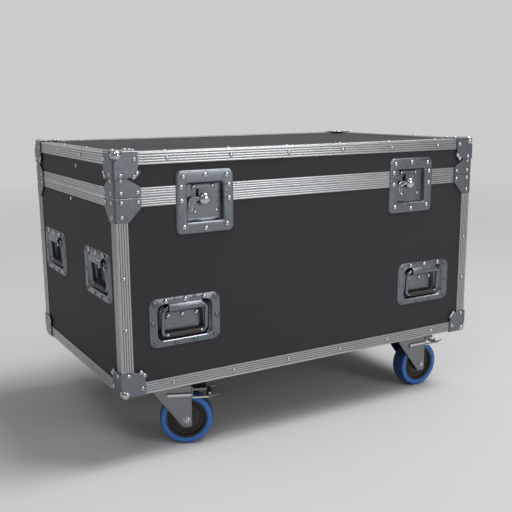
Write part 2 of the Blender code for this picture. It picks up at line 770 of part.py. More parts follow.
def strap_line():
    """The strap's middle line: flat on the flange, round the bail's rod, down to the dish floor."""
    seat = STRAP_THICKNESS / 2 - JOIN_OVERLAP
    radius = BAIL_WIRE_RADIUS + ROD_CLEARANCE + STRAP_THICKNESS / 2
    centre = (BAIL_PIVOT_UP, -BAIL_PIVOT_DEPTH)
    start = math.degrees(math.asin((seat + BAIL_PIVOT_DEPTH) / radius))
    line = [(BAIL_PIVOT_UP + STRAP_TOP, seat)]
    line += arc(centre, radius, start, STRAP_WRAP_END, STRAP_WRAP_STEPS)
    floor = -HANDLE_DEPTH + seat
    line += [(BAIL_PIVOT_UP - STRAP_HEEL, floor), (BAIL_PIVOT_UP - STRAP_TAB_END, floor)]
    return line


def bail_points():
    """The bail's closed loop, from one end of the grip round by the rod, as (x, y, radius) points."""
    half = BAIL_WIDTH / 2
    top = arc((half - BAIL_CORNER_RADIUS, -BAIL_CORNER_RADIUS), BAIL_CORNER_RADIUS, 0, 90, ARC_STEPS)
    low = arc(
        (half - BAIL_CORNER_RADIUS, BAIL_CORNER_RADIUS - BAIL_DROP), BAIL_CORNER_RADIUS, -90, 0, ARC_STEPS
    )
    right = [(x, y, BAIL_WIRE_RADIUS) for x, y in low + top]
    left = [(-x, y, radius) for x, y, radius in reversed(right)]
    grip_end = GRIP_LENGTH / 2
    step = GRIP_SHOULDER
    grip = [
        (-grip_end - step, -BAIL_DROP, BAIL_WIRE_RADIUS),
        (-grip_end, -BAIL_DROP, GRIP_RADIUS),
        (grip_end, -BAIL_DROP, GRIP_RADIUS),
        (grip_end + step, -BAIL_DROP, BAIL_WIRE_RADIUS),
    ]
    return right[1:] + left[:-1] + grip


def make_bail(name, dish_place):
    """A bent rod with a grip sleeve. Its origin is on the rod's upper run, on which it swings."""
    curve = bpy.data.curves.new(name, "CURVE")
    curve.dimensions = "3D"
    curve.bevel_depth = BAIL_WIRE_RADIUS
    curve.bevel_resolution = 1
    points = bail_points()
    spline = curve.splines.new("POLY")
    spline.points.add(len(points) - 1)
    for point, (x, y, radius) in zip(spline.points, points):
        point.co = (x, y, 0, 1)
        point.radius = radius / BAIL_WIRE_RADIUS
    spline.use_cyclic_u = True
    bail = bpy.data.objects.new(name, curve)
    PARTS.objects.link(bail)
    pivot = Matrix.Translation((0, BAIL_PIVOT_UP, -BAIL_PIVOT_DEPTH))
    tilt = Matrix.Rotation(math.radians(BAIL_REST_TILT), 4, "X")
    bail.matrix_world = dish_place @ pivot @ tilt
    bpy.context.view_layer.update()
    return finish(made_mesh(bail), BRIGHT_STEEL, smooth=True)


def make_handles(boards):
    for name, (side, across, up) in handle_spots().items():
        place = handle_dish_place(side, across, up)
        make_handle_dish(f"handle_dish_{name}", place)
        make_bail(f"handle_bail_{name}", place)
        margin = HANDLE_DISH_THICKNESS + CUT_CLEARANCE
        hole = rounded_rectangle(
            *recess_low_high(HANDLE_RECESS_WIDTH, HANDLE_RECESS_HEIGHT, margin), HANDLE_RECESS_RADIUS
        )
        deep = BOARD_BACK * 2
        cut(boards[side], extruded(f"handle_hole_{name}", hole, -deep, deep / 2, place))


# Latches


def latch_place(side, up=0.0, out=0.0):
    """The latch's middle at the seam, on the outer face of its flange, moved up and out of the face."""
    proud = LATCH_THICKNESS + SEAT_GAP - RIM_SETBACK
    return face_place("front", SIDES[side] * LATCH_X, SEAM, proud) @ Matrix.Translation((0, up, out))


def make_full_latch_dish(name, place):
    half = LATCH_WIDTH / 2
    recess = LATCH_RECESS_WIDTH / 2
    floor = recess - LATCH_WALL_SLOPE
    flange = rounded_rectangle((-half, -LATCH_BASE_HEIGHT), (half, LATCH_LID_HEIGHT), LATCH_FLANGE_RADIUS)
    lip = rounded_rectangle((-recess, -LATCH_RECESS_DOWN), (recess, LATCH_RECESS_UP), LATCH_RECESS_RADIUS)
    low = -LATCH_RECESS_DOWN + LATCH_WALL_SLOPE
    high = LATCH_RECESS_UP - LATCH_WALL_SLOPE
    bottom = rounded_rectangle((-floor, low), (floor, high), LATCH_RECESS_RADIUS / 2)
    loops = [
        [(x, y, 0) for x, y in flange],
        [(x, y, 0) for x, y in lip],
        [(x, y, -LATCH_DEPTH) for x, y in bottom],
    ]
    return shell(name, loops, LATCH_THICKNESS, place)


def latch_side_box(name, lid_side, place):
    """A block over the lid's half of the latch, or over the base's half, for cutting it away."""
    far = LATCH_WIDTH
    edge = SEAM_GAP
    low = (-far, -edge, -far) if lid_side else (-far, -far, -far)
    high = (far, far, far) if lid_side else (far, edge, far)
    return block(name, low, high, place)


def make_latch(side):
    place = latch_place(side)
    floor = -LATCH_DEPTH
    dish = make_full_latch_dish(f"latch_dish_{side}", place)
    cut(dish, latch_side_box(f"latch_lid_half_{side}", True, place))
    lug_in = HOOK_WIDTH / 2 + SEAT_GAP
    for hand, sign in SIDES.items():
        ends = sorted((sign * lug_in, sign * (lug_in + LUG_THICKNESS)))
        low = (ends[0], -SPINDLE_DROP - LUG_HEIGHT / 2, floor - JOIN_OVERLAP)
        high = (ends[1], -SPINDLE_DROP + LUG_HEIGHT / 2, -HOOK_DEPTH + HOOK_THICKNESS)
        join(dish, block(f"hook_lug_{side}_{hand}", low, high, place))
    finish(dish, STEEL)

    keeper = make_full_latch_dish(f"latch_keeper_{side}", place)
    cut(keeper, latch_side_box(f"latch_base_half_{side}", False, place))
    half = KEEPER_WIDTH / 2
    foot = floor - JOIN_OVERLAP
    catch_low = HOOK_REACH - SPINDLE_DROP - HOOK_LIP - CATCH_HEIGHT - CATCH_CLEARANCE
    plate_top = catch_low + KEEPER_HEIGHT
    plate = block(
        f"keeper_plate_{side}", (-half, catch_low, foot), (half, plate_top, floor + KEEPER_THICKNESS), place
    )
    bar_half = HOOK_WIDTH / 2 + HOOK_LIP
    bar_low = (-bar_half, catch_low - JOIN_OVERLAP, foot - JOIN_OVERLAP / 2)
    bar_high = (bar_half, catch_low + CATCH_HEIGHT, floor + CATCH_THICKNESS)
    join(keeper, plate, block(f"keeper_catch_{side}", bar_low, bar_high, place))
    finish(keeper, STEEL)

    make_spindle(side)
    make_wing(side)
    make_hook(side)


def make_spindle(side):
    """The round knob that the wing turns, on a shaft from the dish floor. Its Z axis is the turn's."""
    low = -LATCH_DEPTH + SEAT_GAP
    neck = low + SPINDLE_SHAFT
    equator = neck + SPINDLE_RIM
    dome = [
        (SPINDLE_RADIUS * math.cos(math.radians(a)), equator + SPINDLE_DOME * math.sin(math.radians(a)))
        for a in (66, 44, 22, 0)
    ]
    profile = [(0, equator + SPINDLE_DOME)] + dome
    profile += [(SPINDLE_RADIUS, neck), (SPINDLE_SHAFT_RADIUS, neck), (SPINDLE_SHAFT_RADIUS, low), (0, low)]
    barrel = turned(f"latch_spindle_{side}", profile, latch_place(side, up=-SPINDLE_DROP))
    return finish(barrel, BRIGHT_STEEL, smooth=True)


def wing_outline():
    """The wing as a sickle: it leaves the knob straight, then curves down and narrows to its tip."""
    root, knee, tip = (
        Vector(point) for point in ((WING_ROOT, 0), (WING_REACH, 0), (WING_REACH, WING_DROP))
    )
    left, right = [], []
    stations = 6
    for k in range(stations + 1):
        share = k / stations
        spot = root * (1 - share) ** 2 + knee * 2 * share * (1 - share) + tip * share**2
        run = ((knee - root) * (1 - share) + (tip - knee) * share).normalized()
        half = (WING_TIP_WIDTH + (WING_WIDTH - WING_TIP_WIDTH) * (1 - share**3)) / 2
        left.append(tuple(spot + Vector((-run.y, run.x)) * half))
        right.append(tuple(spot - Vector((-run.y, run.x)) * half))
    return right + list(reversed(left))


def make_wing(side):
    """The folded wing. Its origin is on the fold axis near the barrel, which runs along its Y axis."""
    fold = WING_ROOT + WING_THICKNESS
    turn = Matrix.Rotation(math.radians(WING_DIRECTION), 4, "Z")
    place = latch_place(side, up=-SPINDLE_DROP, out=-WING_DEPTH) @ turn @ Matrix.Translation((fold, 0, 0))
    outline = [(x - fold, y) for x, y in wing_outline()]
    wing = extruded(f"latch_wing_{side}", outline, -WING_THICKNESS / 2, WING_THICKNESS / 2, place)
    return finish(with_origin_at(wing, place), BRIGHT_STEEL)


def with_origin_at(obj, place):
    """Moves the object's origin to a place and leaves its shape where it is."""
    obj.data.transform(place.inverted() @ obj.matrix_world)
    obj.matrix_world = place
    return obj


def make_hook(side):
    """The tongue plate, which straddles the shaft under the knob. It tips in to catch the keeper."""
    inner = SPINDLE_SHAFT_RADIUS + HOOK_CLEARANCE
    half = HOOK_WIDTH / 2
    outline = [
        (-half, -HOOK_FOOT),
        (-inner, -HOOK_FOOT),
        (-inner, inner),
        (inner, inner),
        (inner, -HOOK_FOOT),
        (half, -HOOK_FOOT),
        (half, HOOK_REACH),
        (-half, HOOK_REACH),
    ]
    tilt = Matrix.Rotation(math.radians(HOOK_REST_TILT), 4, "X")
    place = latch_place(side, up=-SPINDLE_DROP, out=-HOOK_DEPTH) @ tilt
    hook = extruded(f"latch_hook_{side}", outline, -HOOK_THICKNESS / 2, HOOK_THICKNESS / 2, place)
    hook = with_origin_at(hook, place)
    lip_low = (-half, HOOK_REACH - HOOK_LIP, -HOOK_THICKNESS / 2 - HOOK_LIP_LENGTH)
    lip_high = (half, HOOK_REACH + JOIN_OVERLAP, HOOK_THICKNESS / 4)
    join(hook, block(f"hook_lip_{side}", lip_low, lip_high, place))
    return finish(hook, BRIGHT_STEEL)


def latch_slot_half():
    return LATCH_RECESS_WIDTH / 2 + LATCH_THICKNESS + CUT_CLEARANCE


def latch_slot(side, name):
    """A block that cuts the lid's rim and the boards away behind the latch's recess."""
    margin = LATCH_THICKNESS + CUT_CLEARANCE
    half = latch_slot_half()
    low = (-half, -LATCH_RECESS_DOWN - margin, -LATCH_DEPTH - LATCH_THICKNESS - CUT_CLEARANCE)
    high = (half, LATCH_RECESS_UP + margin, LATCH_DEPTH)
    return block(name, low, high, latch_place(side))


# Hinges


def make_hinge(side):
    """Two leaves on the back face. The base's leaf holds the pin in its two outer knuckles."""
    x = SIDES[side] * HINGE_X
    axis = Matrix.Translation((x, HINGE_AXIS_Y, CASE_FLOOR + SEAM)) @ Matrix.Rotation(math.pi / 2, 4, "Y")
    # On the leaves' plane X runs along the pin and Z out of the back face.
    plane = Matrix.Translation((x, HINGE_AXIS_Y - KNUCKLE_RADIUS, CASE_FLOOR + SEAM))
    half = HINGE_WIDTH / 2
    knuckle = half * KNUCKLE_SHARE
    clear = KNUCKLE_RADIUS + 2 * SEAT_GAP

    upright = plane @ Matrix.Rotation(math.radians(-90), 4, "X")
    lid_leaf = extruded(
        f"hinge_lid_leaf_{side}",
        [
            (-half, -HINGE_LEAF),
            (half, -HINGE_LEAF),
            (half, -clear),
            (knuckle, -clear),
            (knuckle, -SEAT_GAP),
            (-knuckle, -SEAT_GAP),
            (-knuckle, -clear),
            (-half, -clear),
        ],
        0,
        HINGE_THICKNESS,
        upright,
    )
    bore = HINGE_PIN_RADIUS + HINGE_PIN_CLEARANCE
    ring = [(KNUCKLE_RADIUS, knuckle), (KNUCKLE_RADIUS, -knuckle), (bore, -knuckle), (bore, knuckle)]
    join(lid_leaf, turned(f"lid_knuckle_{side}", ring, axis))
    cut(lid_leaf, rod(f"pin_bore_{side}", bore, -half, half, axis))
    finish(lid_leaf, STEEL)

    base_leaf = extruded(
        f"hinge_base_leaf_{side}",
        [
            (-half, SEAT_GAP),
            (-knuckle - SEAT_GAP, SEAT_GAP),
            (-knuckle - SEAT_GAP, clear),
            (knuckle + SEAT_GAP, clear),
            (knuckle + SEAT_GAP, SEAT_GAP),
            (half, SEAT_GAP),
            (half, HINGE_LEAF),
            (-half, HINGE_LEAF),
        ],
        0,
        HINGE_THICKNESS,
        upright,
    )
    pin = HINGE_PIN_RADIUS
    profile = [
        (0, half),
        (KNUCKLE_RADIUS, half),
        (KNUCKLE_RADIUS, knuckle + SEAT_GAP),
        (pin, knuckle + SEAT_GAP),
        (pin, -knuckle - SEAT_GAP),
        (KNUCKLE_RADIUS, -knuckle - SEAT_GAP),
        (KNUCKLE_RADIUS, -half),
        (0, -half),
    ]
    join(base_leaf, turned(f"base_knuckles_{side}", profile, axis))
    finish(base_leaf, STEEL)


# Casters


def caster_place(corner, down=0.0, back=0.0):
    """A place on the caster's swivel axis, measured down from the case's underside and back along its trail."""
    x, y = CORNERS[corner]
    swivel = Matrix.Rotation(math.radians(REST_SWIVEL[corner]), 4, "Z")
    return case_place(x * CASTER_X, y * CASTER_Y, -down) @ swivel @ Matrix.Translation((back, 0, 0))


def make_caster_plate(corner):
    """Top plate bolted under the floor, fixed race, and kingpin with its nut below the fork."""
    top = ANGLE_THICKNESS
    low = top - PLATE_THICKNESS
    half_x, half_y = PLATE_LENGTH / 2, PLATE_WIDTH / 2
    x, y = CORNERS[corner]
    place = case_place(x * CASTER_X, y * CASTER_Y)
    plate = extruded(
        f"caster_plate_{corner}",
        rounded_rectangle((-half_x, -half_y), (half_x, half_y), PLATE_CORNER_RADIUS, 2),
        low,
        top,
        place,
    )
    race = low - RACE_HEIGHT
    nut_top = -CROWN_BOTTOM - SEAT_GAP
    nut_low = nut_top - KINGPIN_NUT_HEIGHT
    profile = [
        (0, low + JOIN_OVERLAP),
        (RACE_RADIUS - RACE_HEIGHT / 2, low + JOIN_OVERLAP),
        (RACE_RADIUS, race + RACE_HEIGHT / 3),
        (RACE_RADIUS, race),
        (KINGPIN_RADIUS, race),
        (KINGPIN_RADIUS, nut_top),
        (KINGPIN_NUT_RADIUS, nut_top),
        (KINGPIN_NUT_RADIUS, nut_low),
        (0, nut_low),
    ]
    join(plate, turned(f"kingpin_{corner}", profile, place))
    return finish(plate, ZINC)


def make_fork(corner):
    """A bent sheet fork under a round crown, with the axle across it. It swivels on its Z axis."""
    place = caster_place(corner)
    top = -(CROWN_BOTTOM - FORK_SHEET)
    under = -CROWN_BOTTOM
    foot = -(AXLE_DROP + FORK_FOOT_BELOW_AXLE)
    side = [
        (-FORK_TOP_FRONT, top),
        (-FORK_TOP_FRONT, under - FORK_SHOULDER),
        (FORK_TOP_BACK - FORK_FOOT_WIDTH, foot),
        (FORK_TOP_BACK, foot),
        (FORK_TOP_BACK, top),
    ]
    inner = WHEEL_WIDTH / 2 + FORK_SIDE_CLEARANCE
    outer = inner + FORK_SHEET
    upright = place @ Matrix.Rotation(math.radians(90), 4, "X")
    fork = extruded(f"caster_fork_{corner}", side, -outer, outer, upright)
    far = AXLE_DROP * 2
    cut(fork, block(f"fork_gap_{corner}", (-far, -inner, -far), (far, inner, under), place))
    crown_top = top + CROWN_HEIGHT
    disc = [
        (0, crown_top),
        (CROWN_RADIUS - CROWN_HEIGHT, crown_top),
        (CROWN_RADIUS, top - FORK_SHEET / 3),
        (CROWN_RADIUS - FORK_SHEET, under + FORK_SHEET / 4),
        (0, under + FORK_SHEET / 4),
    ]
    join(fork, turned(f"fork_crown_{corner}", disc, place))
    axle = caster_place(corner, AXLE_DROP, CASTER_TRAIL) @ Matrix.Rotation(math.radians(90), 4, "X")
    end = outer + AXLE_HEAD_HEIGHT
    head, face = AXLE_HEAD_RADIUS, outer - JOIN_OVERLAP
    profile = [
        (0, end),
        (head * 0.6, end - AXLE_HEAD_HEIGHT * 0.25),
        (head, face),
        (AXLE_RADIUS, face),
        (AXLE_RADIUS, -face),
        (head, -face),
        (head * 0.6, -end + AXLE_HEAD_HEIGHT * 0.25),
        (0, -end),
    ]
    join(fork, turned(f"axle_{corner}", profile, axle))
    if corner.startswith("front"):
        pin = caster_place(corner, PEDAL_PIVOT_DROP) @ Matrix.Rotation(math.radians(90), 4, "X")
        pin_end = outer + SEAT_GAP + PEDAL_SHEET + SEAT_GAP
        for hand, sign in SIDES.items():
            ends = sorted((sign * (inner + FORK_SHEET / 2), sign * pin_end))
            join(fork, rod(f"pedal_pin_{corner}_{hand}", PEDAL_PIN_RADIUS, *ends, pin))
    bore = KINGPIN_RADIUS + KINGPIN_CLEARANCE
    cut(fork, rod(f"kingpin_bore_{corner}", bore, under * 2, 0, place))
    return finish(fork, ZINC)


def make_wheel(corner):
    """A tyre bonded on a dished hub with a bored boss, on the axle. Its Z axis is the wheel's."""
    place = caster_place(corner, AXLE_DROP, CASTER_TRAIL) @ Matrix.Rotation(math.radians(90), 4, "X")
    half = WHEEL_WIDTH / 2
    rim = WHEEL_RADIUS - TYRE_DEPTH
    boss = half + FORK_SIDE_CLEARANCE - SEAT_GAP
    bore = AXLE_RADIUS + AXLE_CLEARANCE
    dish = HUB_WEB_WIDTH / 2
    outer = [
        (bore, boss),
        (HUB_BOSS_RADIUS, boss),
        (HUB_BOSS_RADIUS, dish),
        (rim - RIM_BAND, dish),
        (rim, half - RIM_STEP),
        (rim, half),
        (WHEEL_RADIUS - TYRE_SHOULDER, half),
        (WHEEL_RADIUS, half * 0.5),
    ]
    profile = outer + [(radius, -height) for radius, height in reversed(outer)]
    wheel = turned(f"caster_wheel_{corner}", profile, place, WHEEL_STEPS)
    return finish(wheel, TYRE, smooth=True)


def make_pedal(corner):
    """Two cheeks outside the fork, a post and shoe over the tyre, and an upturned tread behind it."""
    place = caster_place(corner, PEDAL_PIVOT_DROP)
    inner = WHEEL_WIDTH / 2 + FORK_SIDE_CLEARANCE + FORK_SHEET + SEAT_GAP
    outer = inner + PEDAL_SHEET
    half = PEDAL_CHEEK_HALF
    post = FORK_TOP_BACK + SEAT_GAP * 2
    post_back = post + PEDAL_SHEET
    shoe_top = SHOE_ABOVE_PIVOT + SHOE_HEIGHT
    tip = PEDAL_ARM_END + PEDAL_TREAD_WIDTH
    outline = [
        (-PEDAL_CHEEK_FRONT, -half),
        (PEDAL_ARM_END, -half),
        (PEDAL_ARM_END + PEDAL_TREAD_WIDTH * 0.55, -half * 0.45),
        (tip, PEDAL_TIP_RISE - PEDAL_SHEET * 0.6),
        (tip, PEDAL_TIP_RISE),
        (PEDAL_ARM_END + PEDAL_TREAD_WIDTH * 0.5, half * 0.15),
        (PEDAL_ARM_END, 0),
        (post_back, 0),
        (post_back, SHOE_ABOVE_PIVOT),
        (SHOE_END, SHOE_ABOVE_PIVOT),
        (SHOE_END, shoe_top),
        (post_back, shoe_top),
        (post_back, PEDAL_POST_TOP),
        (post, PEDAL_POST_TOP),
        (post, half),
        (-PEDAL_CHEEK_FRONT, half),
    ]
    upright = place @ Matrix.Rotation(math.radians(90), 4, "X")
    pedal = extruded(f"brake_pedal_{corner}", outline, -outer, outer, upright)
    pedal = with_origin_at(pedal, place)
    far = tip * 2
    fork_gap = block(f"pedal_fork_gap_{corner}", (-far, -inner, -far), (post, inner, far), place)
    wheel_high = (PEDAL_ARM_END - PEDAL_SHEET, inner, SHOE_ABOVE_PIVOT)
    wheel_gap = block(f"pedal_wheel_gap_{corner}", (0, -inner, -far), wheel_high, place)
    sides = []
    for hand, sign in SIDES.items():
        ends = sorted((sign * SHOE_HALF_WIDTH, sign * far))
        low = (post_back, ends[0], SHOE_ABOVE_PIVOT / 2)
        sides.append(block(f"shoe_side_{corner}_{hand}", low, (far, ends[1], far), place))
    bore = PEDAL_PIN_RADIUS + AXLE_CLEARANCE
    pin_hole = rod(f"pedal_bore_{corner}", bore, -far, far, upright)
    cut(pedal, fork_gap, wheel_gap, *sides, pin_hole)
    return finish(pedal, BRIGHT_STEEL)


def make_casters():
    for corner in CORNERS:
        make_caster_plate(corner)
        make_fork(corner)
        make_wheel(corner)
        if corner.startswith("front"):
            make_pedal(corner)


def main():
    boards = make_base_boards()
    lid_wall = make_lid_boards()
    stile_low = ANGLE_LEG - ANGLE_LEG / (RIB_GROOVE_COUNT + 1) / 2
    base_top = SEAM - RIM_FLANGE - SEAT_GAP
    lid_low = SEAM + RIM_FLANGE + SEAT_GAP
    make_edge_frame("base_edge_frame", False, stile_low, base_top, base_brace_outline())
    make_edge_frame("lid_edge_frame", True, lid_low, CASE_HEIGHT - stile_low, lid_brace_outline())
    make_base_rim()
    lid_rim = finish(mitred_ring("lid_rim_frame", lid_rim_profile(), case_place()), ALUMINIUM)
    make_ball_corners()
    make_handles(boards)
    for side in SIDES:
        make_latch(side)
        for obj in (boards["front"], lid_wall, lid_rim):
            cut(obj, latch_slot(side, f"latch_slot_{obj.name}_{side}"))
        make_hinge(side)
    make_casters()


main()
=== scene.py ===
"""The looks of a road case for stage gear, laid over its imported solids.

Shapes are worked out in millimetres and become metres when a piece is made. The case stands with
its front towards -Y, and BODY is the height of its underside above the floor.
"""

import bpy
import numpy as np
from bpy.props import FloatProperty, FloatVectorProperty, IntProperty, PointerProperty
from mathutils import Matrix, Vector


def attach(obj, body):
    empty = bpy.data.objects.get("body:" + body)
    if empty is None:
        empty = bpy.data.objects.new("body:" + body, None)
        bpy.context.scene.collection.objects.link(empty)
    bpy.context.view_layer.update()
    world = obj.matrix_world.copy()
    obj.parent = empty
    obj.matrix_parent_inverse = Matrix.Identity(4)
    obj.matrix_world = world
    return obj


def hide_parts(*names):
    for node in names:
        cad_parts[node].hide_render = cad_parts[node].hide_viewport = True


bl_info = {
    "name": "Road Case",
    "version": (1, 0, 0),
    "blender": (4, 5, 0),
    "location": "3D View > Sidebar > Road Case",
    "description": "Builds the visible pieces of a road case on four swivel casters",
    "category": "Add Mesh",
}

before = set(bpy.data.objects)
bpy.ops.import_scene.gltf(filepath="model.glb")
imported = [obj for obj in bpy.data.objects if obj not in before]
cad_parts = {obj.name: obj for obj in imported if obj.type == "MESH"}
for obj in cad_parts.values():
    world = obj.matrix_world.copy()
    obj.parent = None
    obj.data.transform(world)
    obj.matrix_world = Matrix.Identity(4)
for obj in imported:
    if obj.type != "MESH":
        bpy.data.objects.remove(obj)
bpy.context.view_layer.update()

MM = 0.001
BODY = 128.0
LENGTH, WIDTH, HEIGHT = 800.0, 472.0, 420.0
SEAM = 344.4
ENDS = (-1, 1)

# Lines of the edging, as distances in from the case's outer faces
RAIL_INSET, STILE_INSET, RIM_INSET = -0.4, 0.0, 0.6
ANGLE_LEG, ANGLE_WALL = 22.4, 2.0
BALL_INSET = (6.6, 4.8, 4.6)
BALL_CLEAR = 16.5
BOARD_BACK = 11.3
LATCH_X, HANDLE_X, HANDLE_Z = 234.3, 277.5, 122.4
LATCH_SLOT, LATCH_PIVOT_DROP, SEAM_GAP = 38.2, 10.4, 0.15
HANDLE_END_Y, HANDLE_END_Z = 130.0, 200.0
CASTER_X, CASTER_Y = 284.0, 178.0
AXLE = (27, 0, -78)
# The turn of each caster at rest, in degrees
SWIVEL = {(-1, -1): -24.0, (1, -1): 0.0, (1, 1): 0.0, (-1, 1): 0.0}
CORNER_NAMES = {(-1, -1): "front_left", (1, -1): "front_right", (1, 1): "back_right", (-1, 1): "back_left"}
SIDE_NAMES = {-1: "left", 1: "right"}
# Half of the length of each side
HALF = {"front": LENGTH / 2, "back": LENGTH / 2, "left": WIDTH / 2, "right": WIDTH / 2}
DISH_WALL = 1.5
# Edges that turn by more degrees than this are shaded as creases
SHARP_ANGLE = 38.0

# The way to the sun lamp, as (x, y, z), and how wide the sun looks in degrees
KEY_DIRECTION = (0.41, -0.15, 0.89)
SUN_ANGLE = 24.0
CAMERA_SPOT = (-0.83522, -1.44008, 0.62798)
# Yaw, pitch and roll in degrees
CAMERA_ANGLES = (30.2523, 11.2889, -0.4203)
# Half of the floor's length, in metres
FLOOR_REACH = 30.0


def length_property(name, description, size):
    return FloatProperty(name=name, description=description, default=size, unit="LENGTH")


def amount_property(name, description, amount):
    return FloatProperty(name=name, description=description, default=amount, min=0)


def colour_property(name, description, colour):
    return FloatVectorProperty(
        name=name, description=description, default=colour, subtype="COLOR", size=3, min=0, max=1
    )


class CaseSizes(bpy.types.PropertyGroup):
    rib_count: IntProperty(name="Ribs", description="Ribs on each leg of the angles", default=5, min=2, max=8)
    rib_depth: length_property("Rib depth", "Depth of the grooves in the edging", 0.0008)
    rivet_radius: length_property("Rivet head", "Radius of the domed rivet heads", 0.0046)
    small_rivet_radius: length_property("Small rivet head", "Radius of the corner and edging rivets", 0.0036)
    ball_radius: length_property("Ball", "Radius of the balls on the corners", 0.0095)


class CaseFinish(bpy.types.PropertyGroup):
    laminate: colour_property("Laminate", "Colour of the boards", (0.042, 0.040, 0.044))
    aluminium: colour_property("Aluminium", "Colour of the edging", (0.44, 0.45, 0.46))
    plated: colour_property("Plated steel", "Colour of dishes, braces and corners", (0.19, 0.21, 0.235))
    # Bright steel is the rivets' own colour, and also serves as a painted highlight on the latch wings' rims
    # and the brake pedals' bars
    bright: colour_property("Bright steel", "Colour of rivets and latches", (0.62, 0.63, 0.65))
    # The groove colour is painted shade: a darker aluminium laid in the bottoms of the edging's grooves
    groove: colour_property("Groove", "Colour of the grooves in the edging", (0.22, 0.23, 0.24))
    polished: colour_property("Polished steel", "Colour of corner balls and knobs", (0.52, 0.53, 0.55))
    # This colour is painted shade: the dark ring round each rivet head and the dark walls of its pin hole
    # stand in for the shade where the head meets its plate and inside the hole
    grime: colour_property("Shading", "Colour of the grime round the rivets", (0.020, 0.021, 0.023))
    zinc: colour_property("Zinc", "Colour of the caster forks", (0.23, 0.24, 0.25))
    # The caster plate colour is painted shade: the plates are coloured near black to stand for the shade
    # under the case
    mount: colour_property("Caster plate", "Colour of the plates over the casters", (0.09, 0.095, 0.10))
    tyre: colour_property("Tyre", "Colour of the elastic tyres", (0.030, 0.155, 0.50))
    # The tread colour is painted shade: the tyre's tread and shoulders are coloured darker than its sides, as
    # if they faced away from the light
    tread: colour_property("Tread", "Colour of the worn tread", (0.010, 0.045, 0.14))
    core: colour_property("Wheel core", "Colour of the wheel cores", (0.022, 0.018, 0.016))
    rubber: colour_property("Grip", "Colour of the grip sleeves", (0.035, 0.027, 0.025))


class CaseStage(bpy.types.PropertyGroup):
    floor: colour_property("Floor", "Colour of the floor", (0.62, 0.62, 0.62))
    backdrop: colour_property("Backdrop", "Colour of the wall behind the case", (0.60, 0.60, 0.60))
    lens: amount_property("Lens", "Focal length of the camera in millimetres", 54.476)
    key: amount_property("Key light", "Power of the key light in watts", 14.0)
    sun: amount_property("Sun", "Strength of the even overhead light", 1.6)
    fill: amount_property("Fill light", "Power of the fill light in watts", 11.0)
    sky: amount_property("Sky", "Strength of the surrounding light", 0.3)


# Shapes


def volume(points, quads, caps):
    """Six-fold signed volume: the triple product of each triangle's points, summed."""
    fans = [np.stack([np.full(len(cap) - 2, cap[0]), cap[1:-1], cap[2:]], -1) for cap in caps]
    triangles = np.concatenate([quads[:, [0, 1, 2]], quads[:, [0, 2, 3]], *fans])
    first, second, third = points[triangles].transpose(1, 0, 2)
    return float((first * np.cross(second, third)).sum())


def skin(rows, looped=False, dark=None):
    """Quads between neighbouring rows of points, each row closed on itself, with flat ends unless looped.

    dark marks the steps along a row whose quads take the piece's second finish.
    """
    rows = np.asarray(rows, float)
    index = np.arange(rows.shape[0] * rows.shape[1]).reshape(rows.shape[:2])
    ahead = np.roll(index, -1, 0)
    here, ahead = (index, ahead) if looped else (index[:-1], ahead[:-1])
    quads = np.stack([here, np.roll(here, -1, 1), np.roll(ahead, -1, 1), ahead], -1).reshape(-1, 4)
    caps = [] if looped else [index[0][::-1], index[-1]]
    shade = np.zeros(rows.shape[1], int) if dark is None else np.asarray(dark, int)
    return rows.reshape(-1, 3), quads, caps, np.tile(shade, len(here))


def placed(shape, place):
    """The shape's points times the place's matrix, plus its offset."""
    points, *rest = shape
    place = np.asarray(place, float)
    return points @ place[:3, :3].T + place[:3, 3], *rest


def outward(shape):
    points, quads, caps, shade = shape
    if volume(points, quads, caps) < 0:
        return points, quads[:, ::-1], [cap[::-1] for cap in caps], shade
    return shape


def joined(shapes):
    points, quads, caps, shades, count = [], [], [], [], 0
    for shape in map(outward, shapes):
        points.append(shape[0])
        quads.append(shape[1] + count)
        caps += [cap + count for cap in shape[2]]
        shades.append(shape[3])
        count += len(shape[0])
    return np.concatenate(points), np.concatenate(quads), caps, np.concatenate(shades)


def turned(profile, steps=32, looped=False, dark=None):
    """A profile of (radius, height) points round Z: x = r cos t, y = r sin t, z = h.

    dark marks the steps along the profile that take the piece's second finish.
    """
    profile = np.asarray(profile, float)
    angle = np.linspace(0, 2 * np.pi, steps, endpoint=False)
    radius, height = profile[:, :1], profile[:, 1:]
    rows = np.stack([radius * np.cos(angle), radius * np.sin(angle), height + 0 * angle], -1)
    points, quads, caps, shade = skin(rows, looped)
    if dark is not None:
        shade = np.repeat(np.asarray(dark, int), steps)[: len(quads)]
    return points, quads, caps, shade


def arc(centre, radius, start, end, steps=6):
    """Points at a radius round a centre, from one angle to another in degrees."""
    angle = np.radians(np.linspace(start, end, steps + 1))
    return np.stack([centre[0] + radius * np.cos(angle), centre[1] + radius * np.sin(angle)], -1)


def rounded(corners, radius, steps=4):
    """Each corner P becomes a curve (1-t)^2 A + 2t(1-t) P + t^2 B between points A and B on its sides."""
    corners = np.asarray(corners, float)
    back = np.roll(corners, 1, 0) - corners
    ahead = np.roll(corners, -1, 0) - corners
    back_length = np.linalg.norm(back, axis=1)
    ahead_length = np.linalg.norm(ahead, axis=1)
    cut = np.minimum(radius, 0.45 * np.minimum(back_length, ahead_length))[:, None]
    before = corners + back / back_length[:, None] * cut
    after = corners + ahead / ahead_length[:, None] * cut
    t = np.linspace(0, 1, steps + 1)[None, :, None]
    curve = (1 - t) ** 2 * before[:, None] + 2 * t * (1 - t) * corners[:, None] + t**2 * after[:, None]
    return curve.reshape(-1, 2)


def rounded_box(low, high, radius, steps=6):
    """An anticlockwise rectangle whose corners are quarter circles of the radius."""
    (x0, y0), (x1, y1) = np.add(low, radius), np.subtract(high, radius)
    corners = ((x1, y0, -90), (x1, y1, 0), (x0, y1, 90), (x0, y0, 180))
    return np.concatenate([arc((x, y), radius, start, start + 90, steps) for x, y, start in corners])


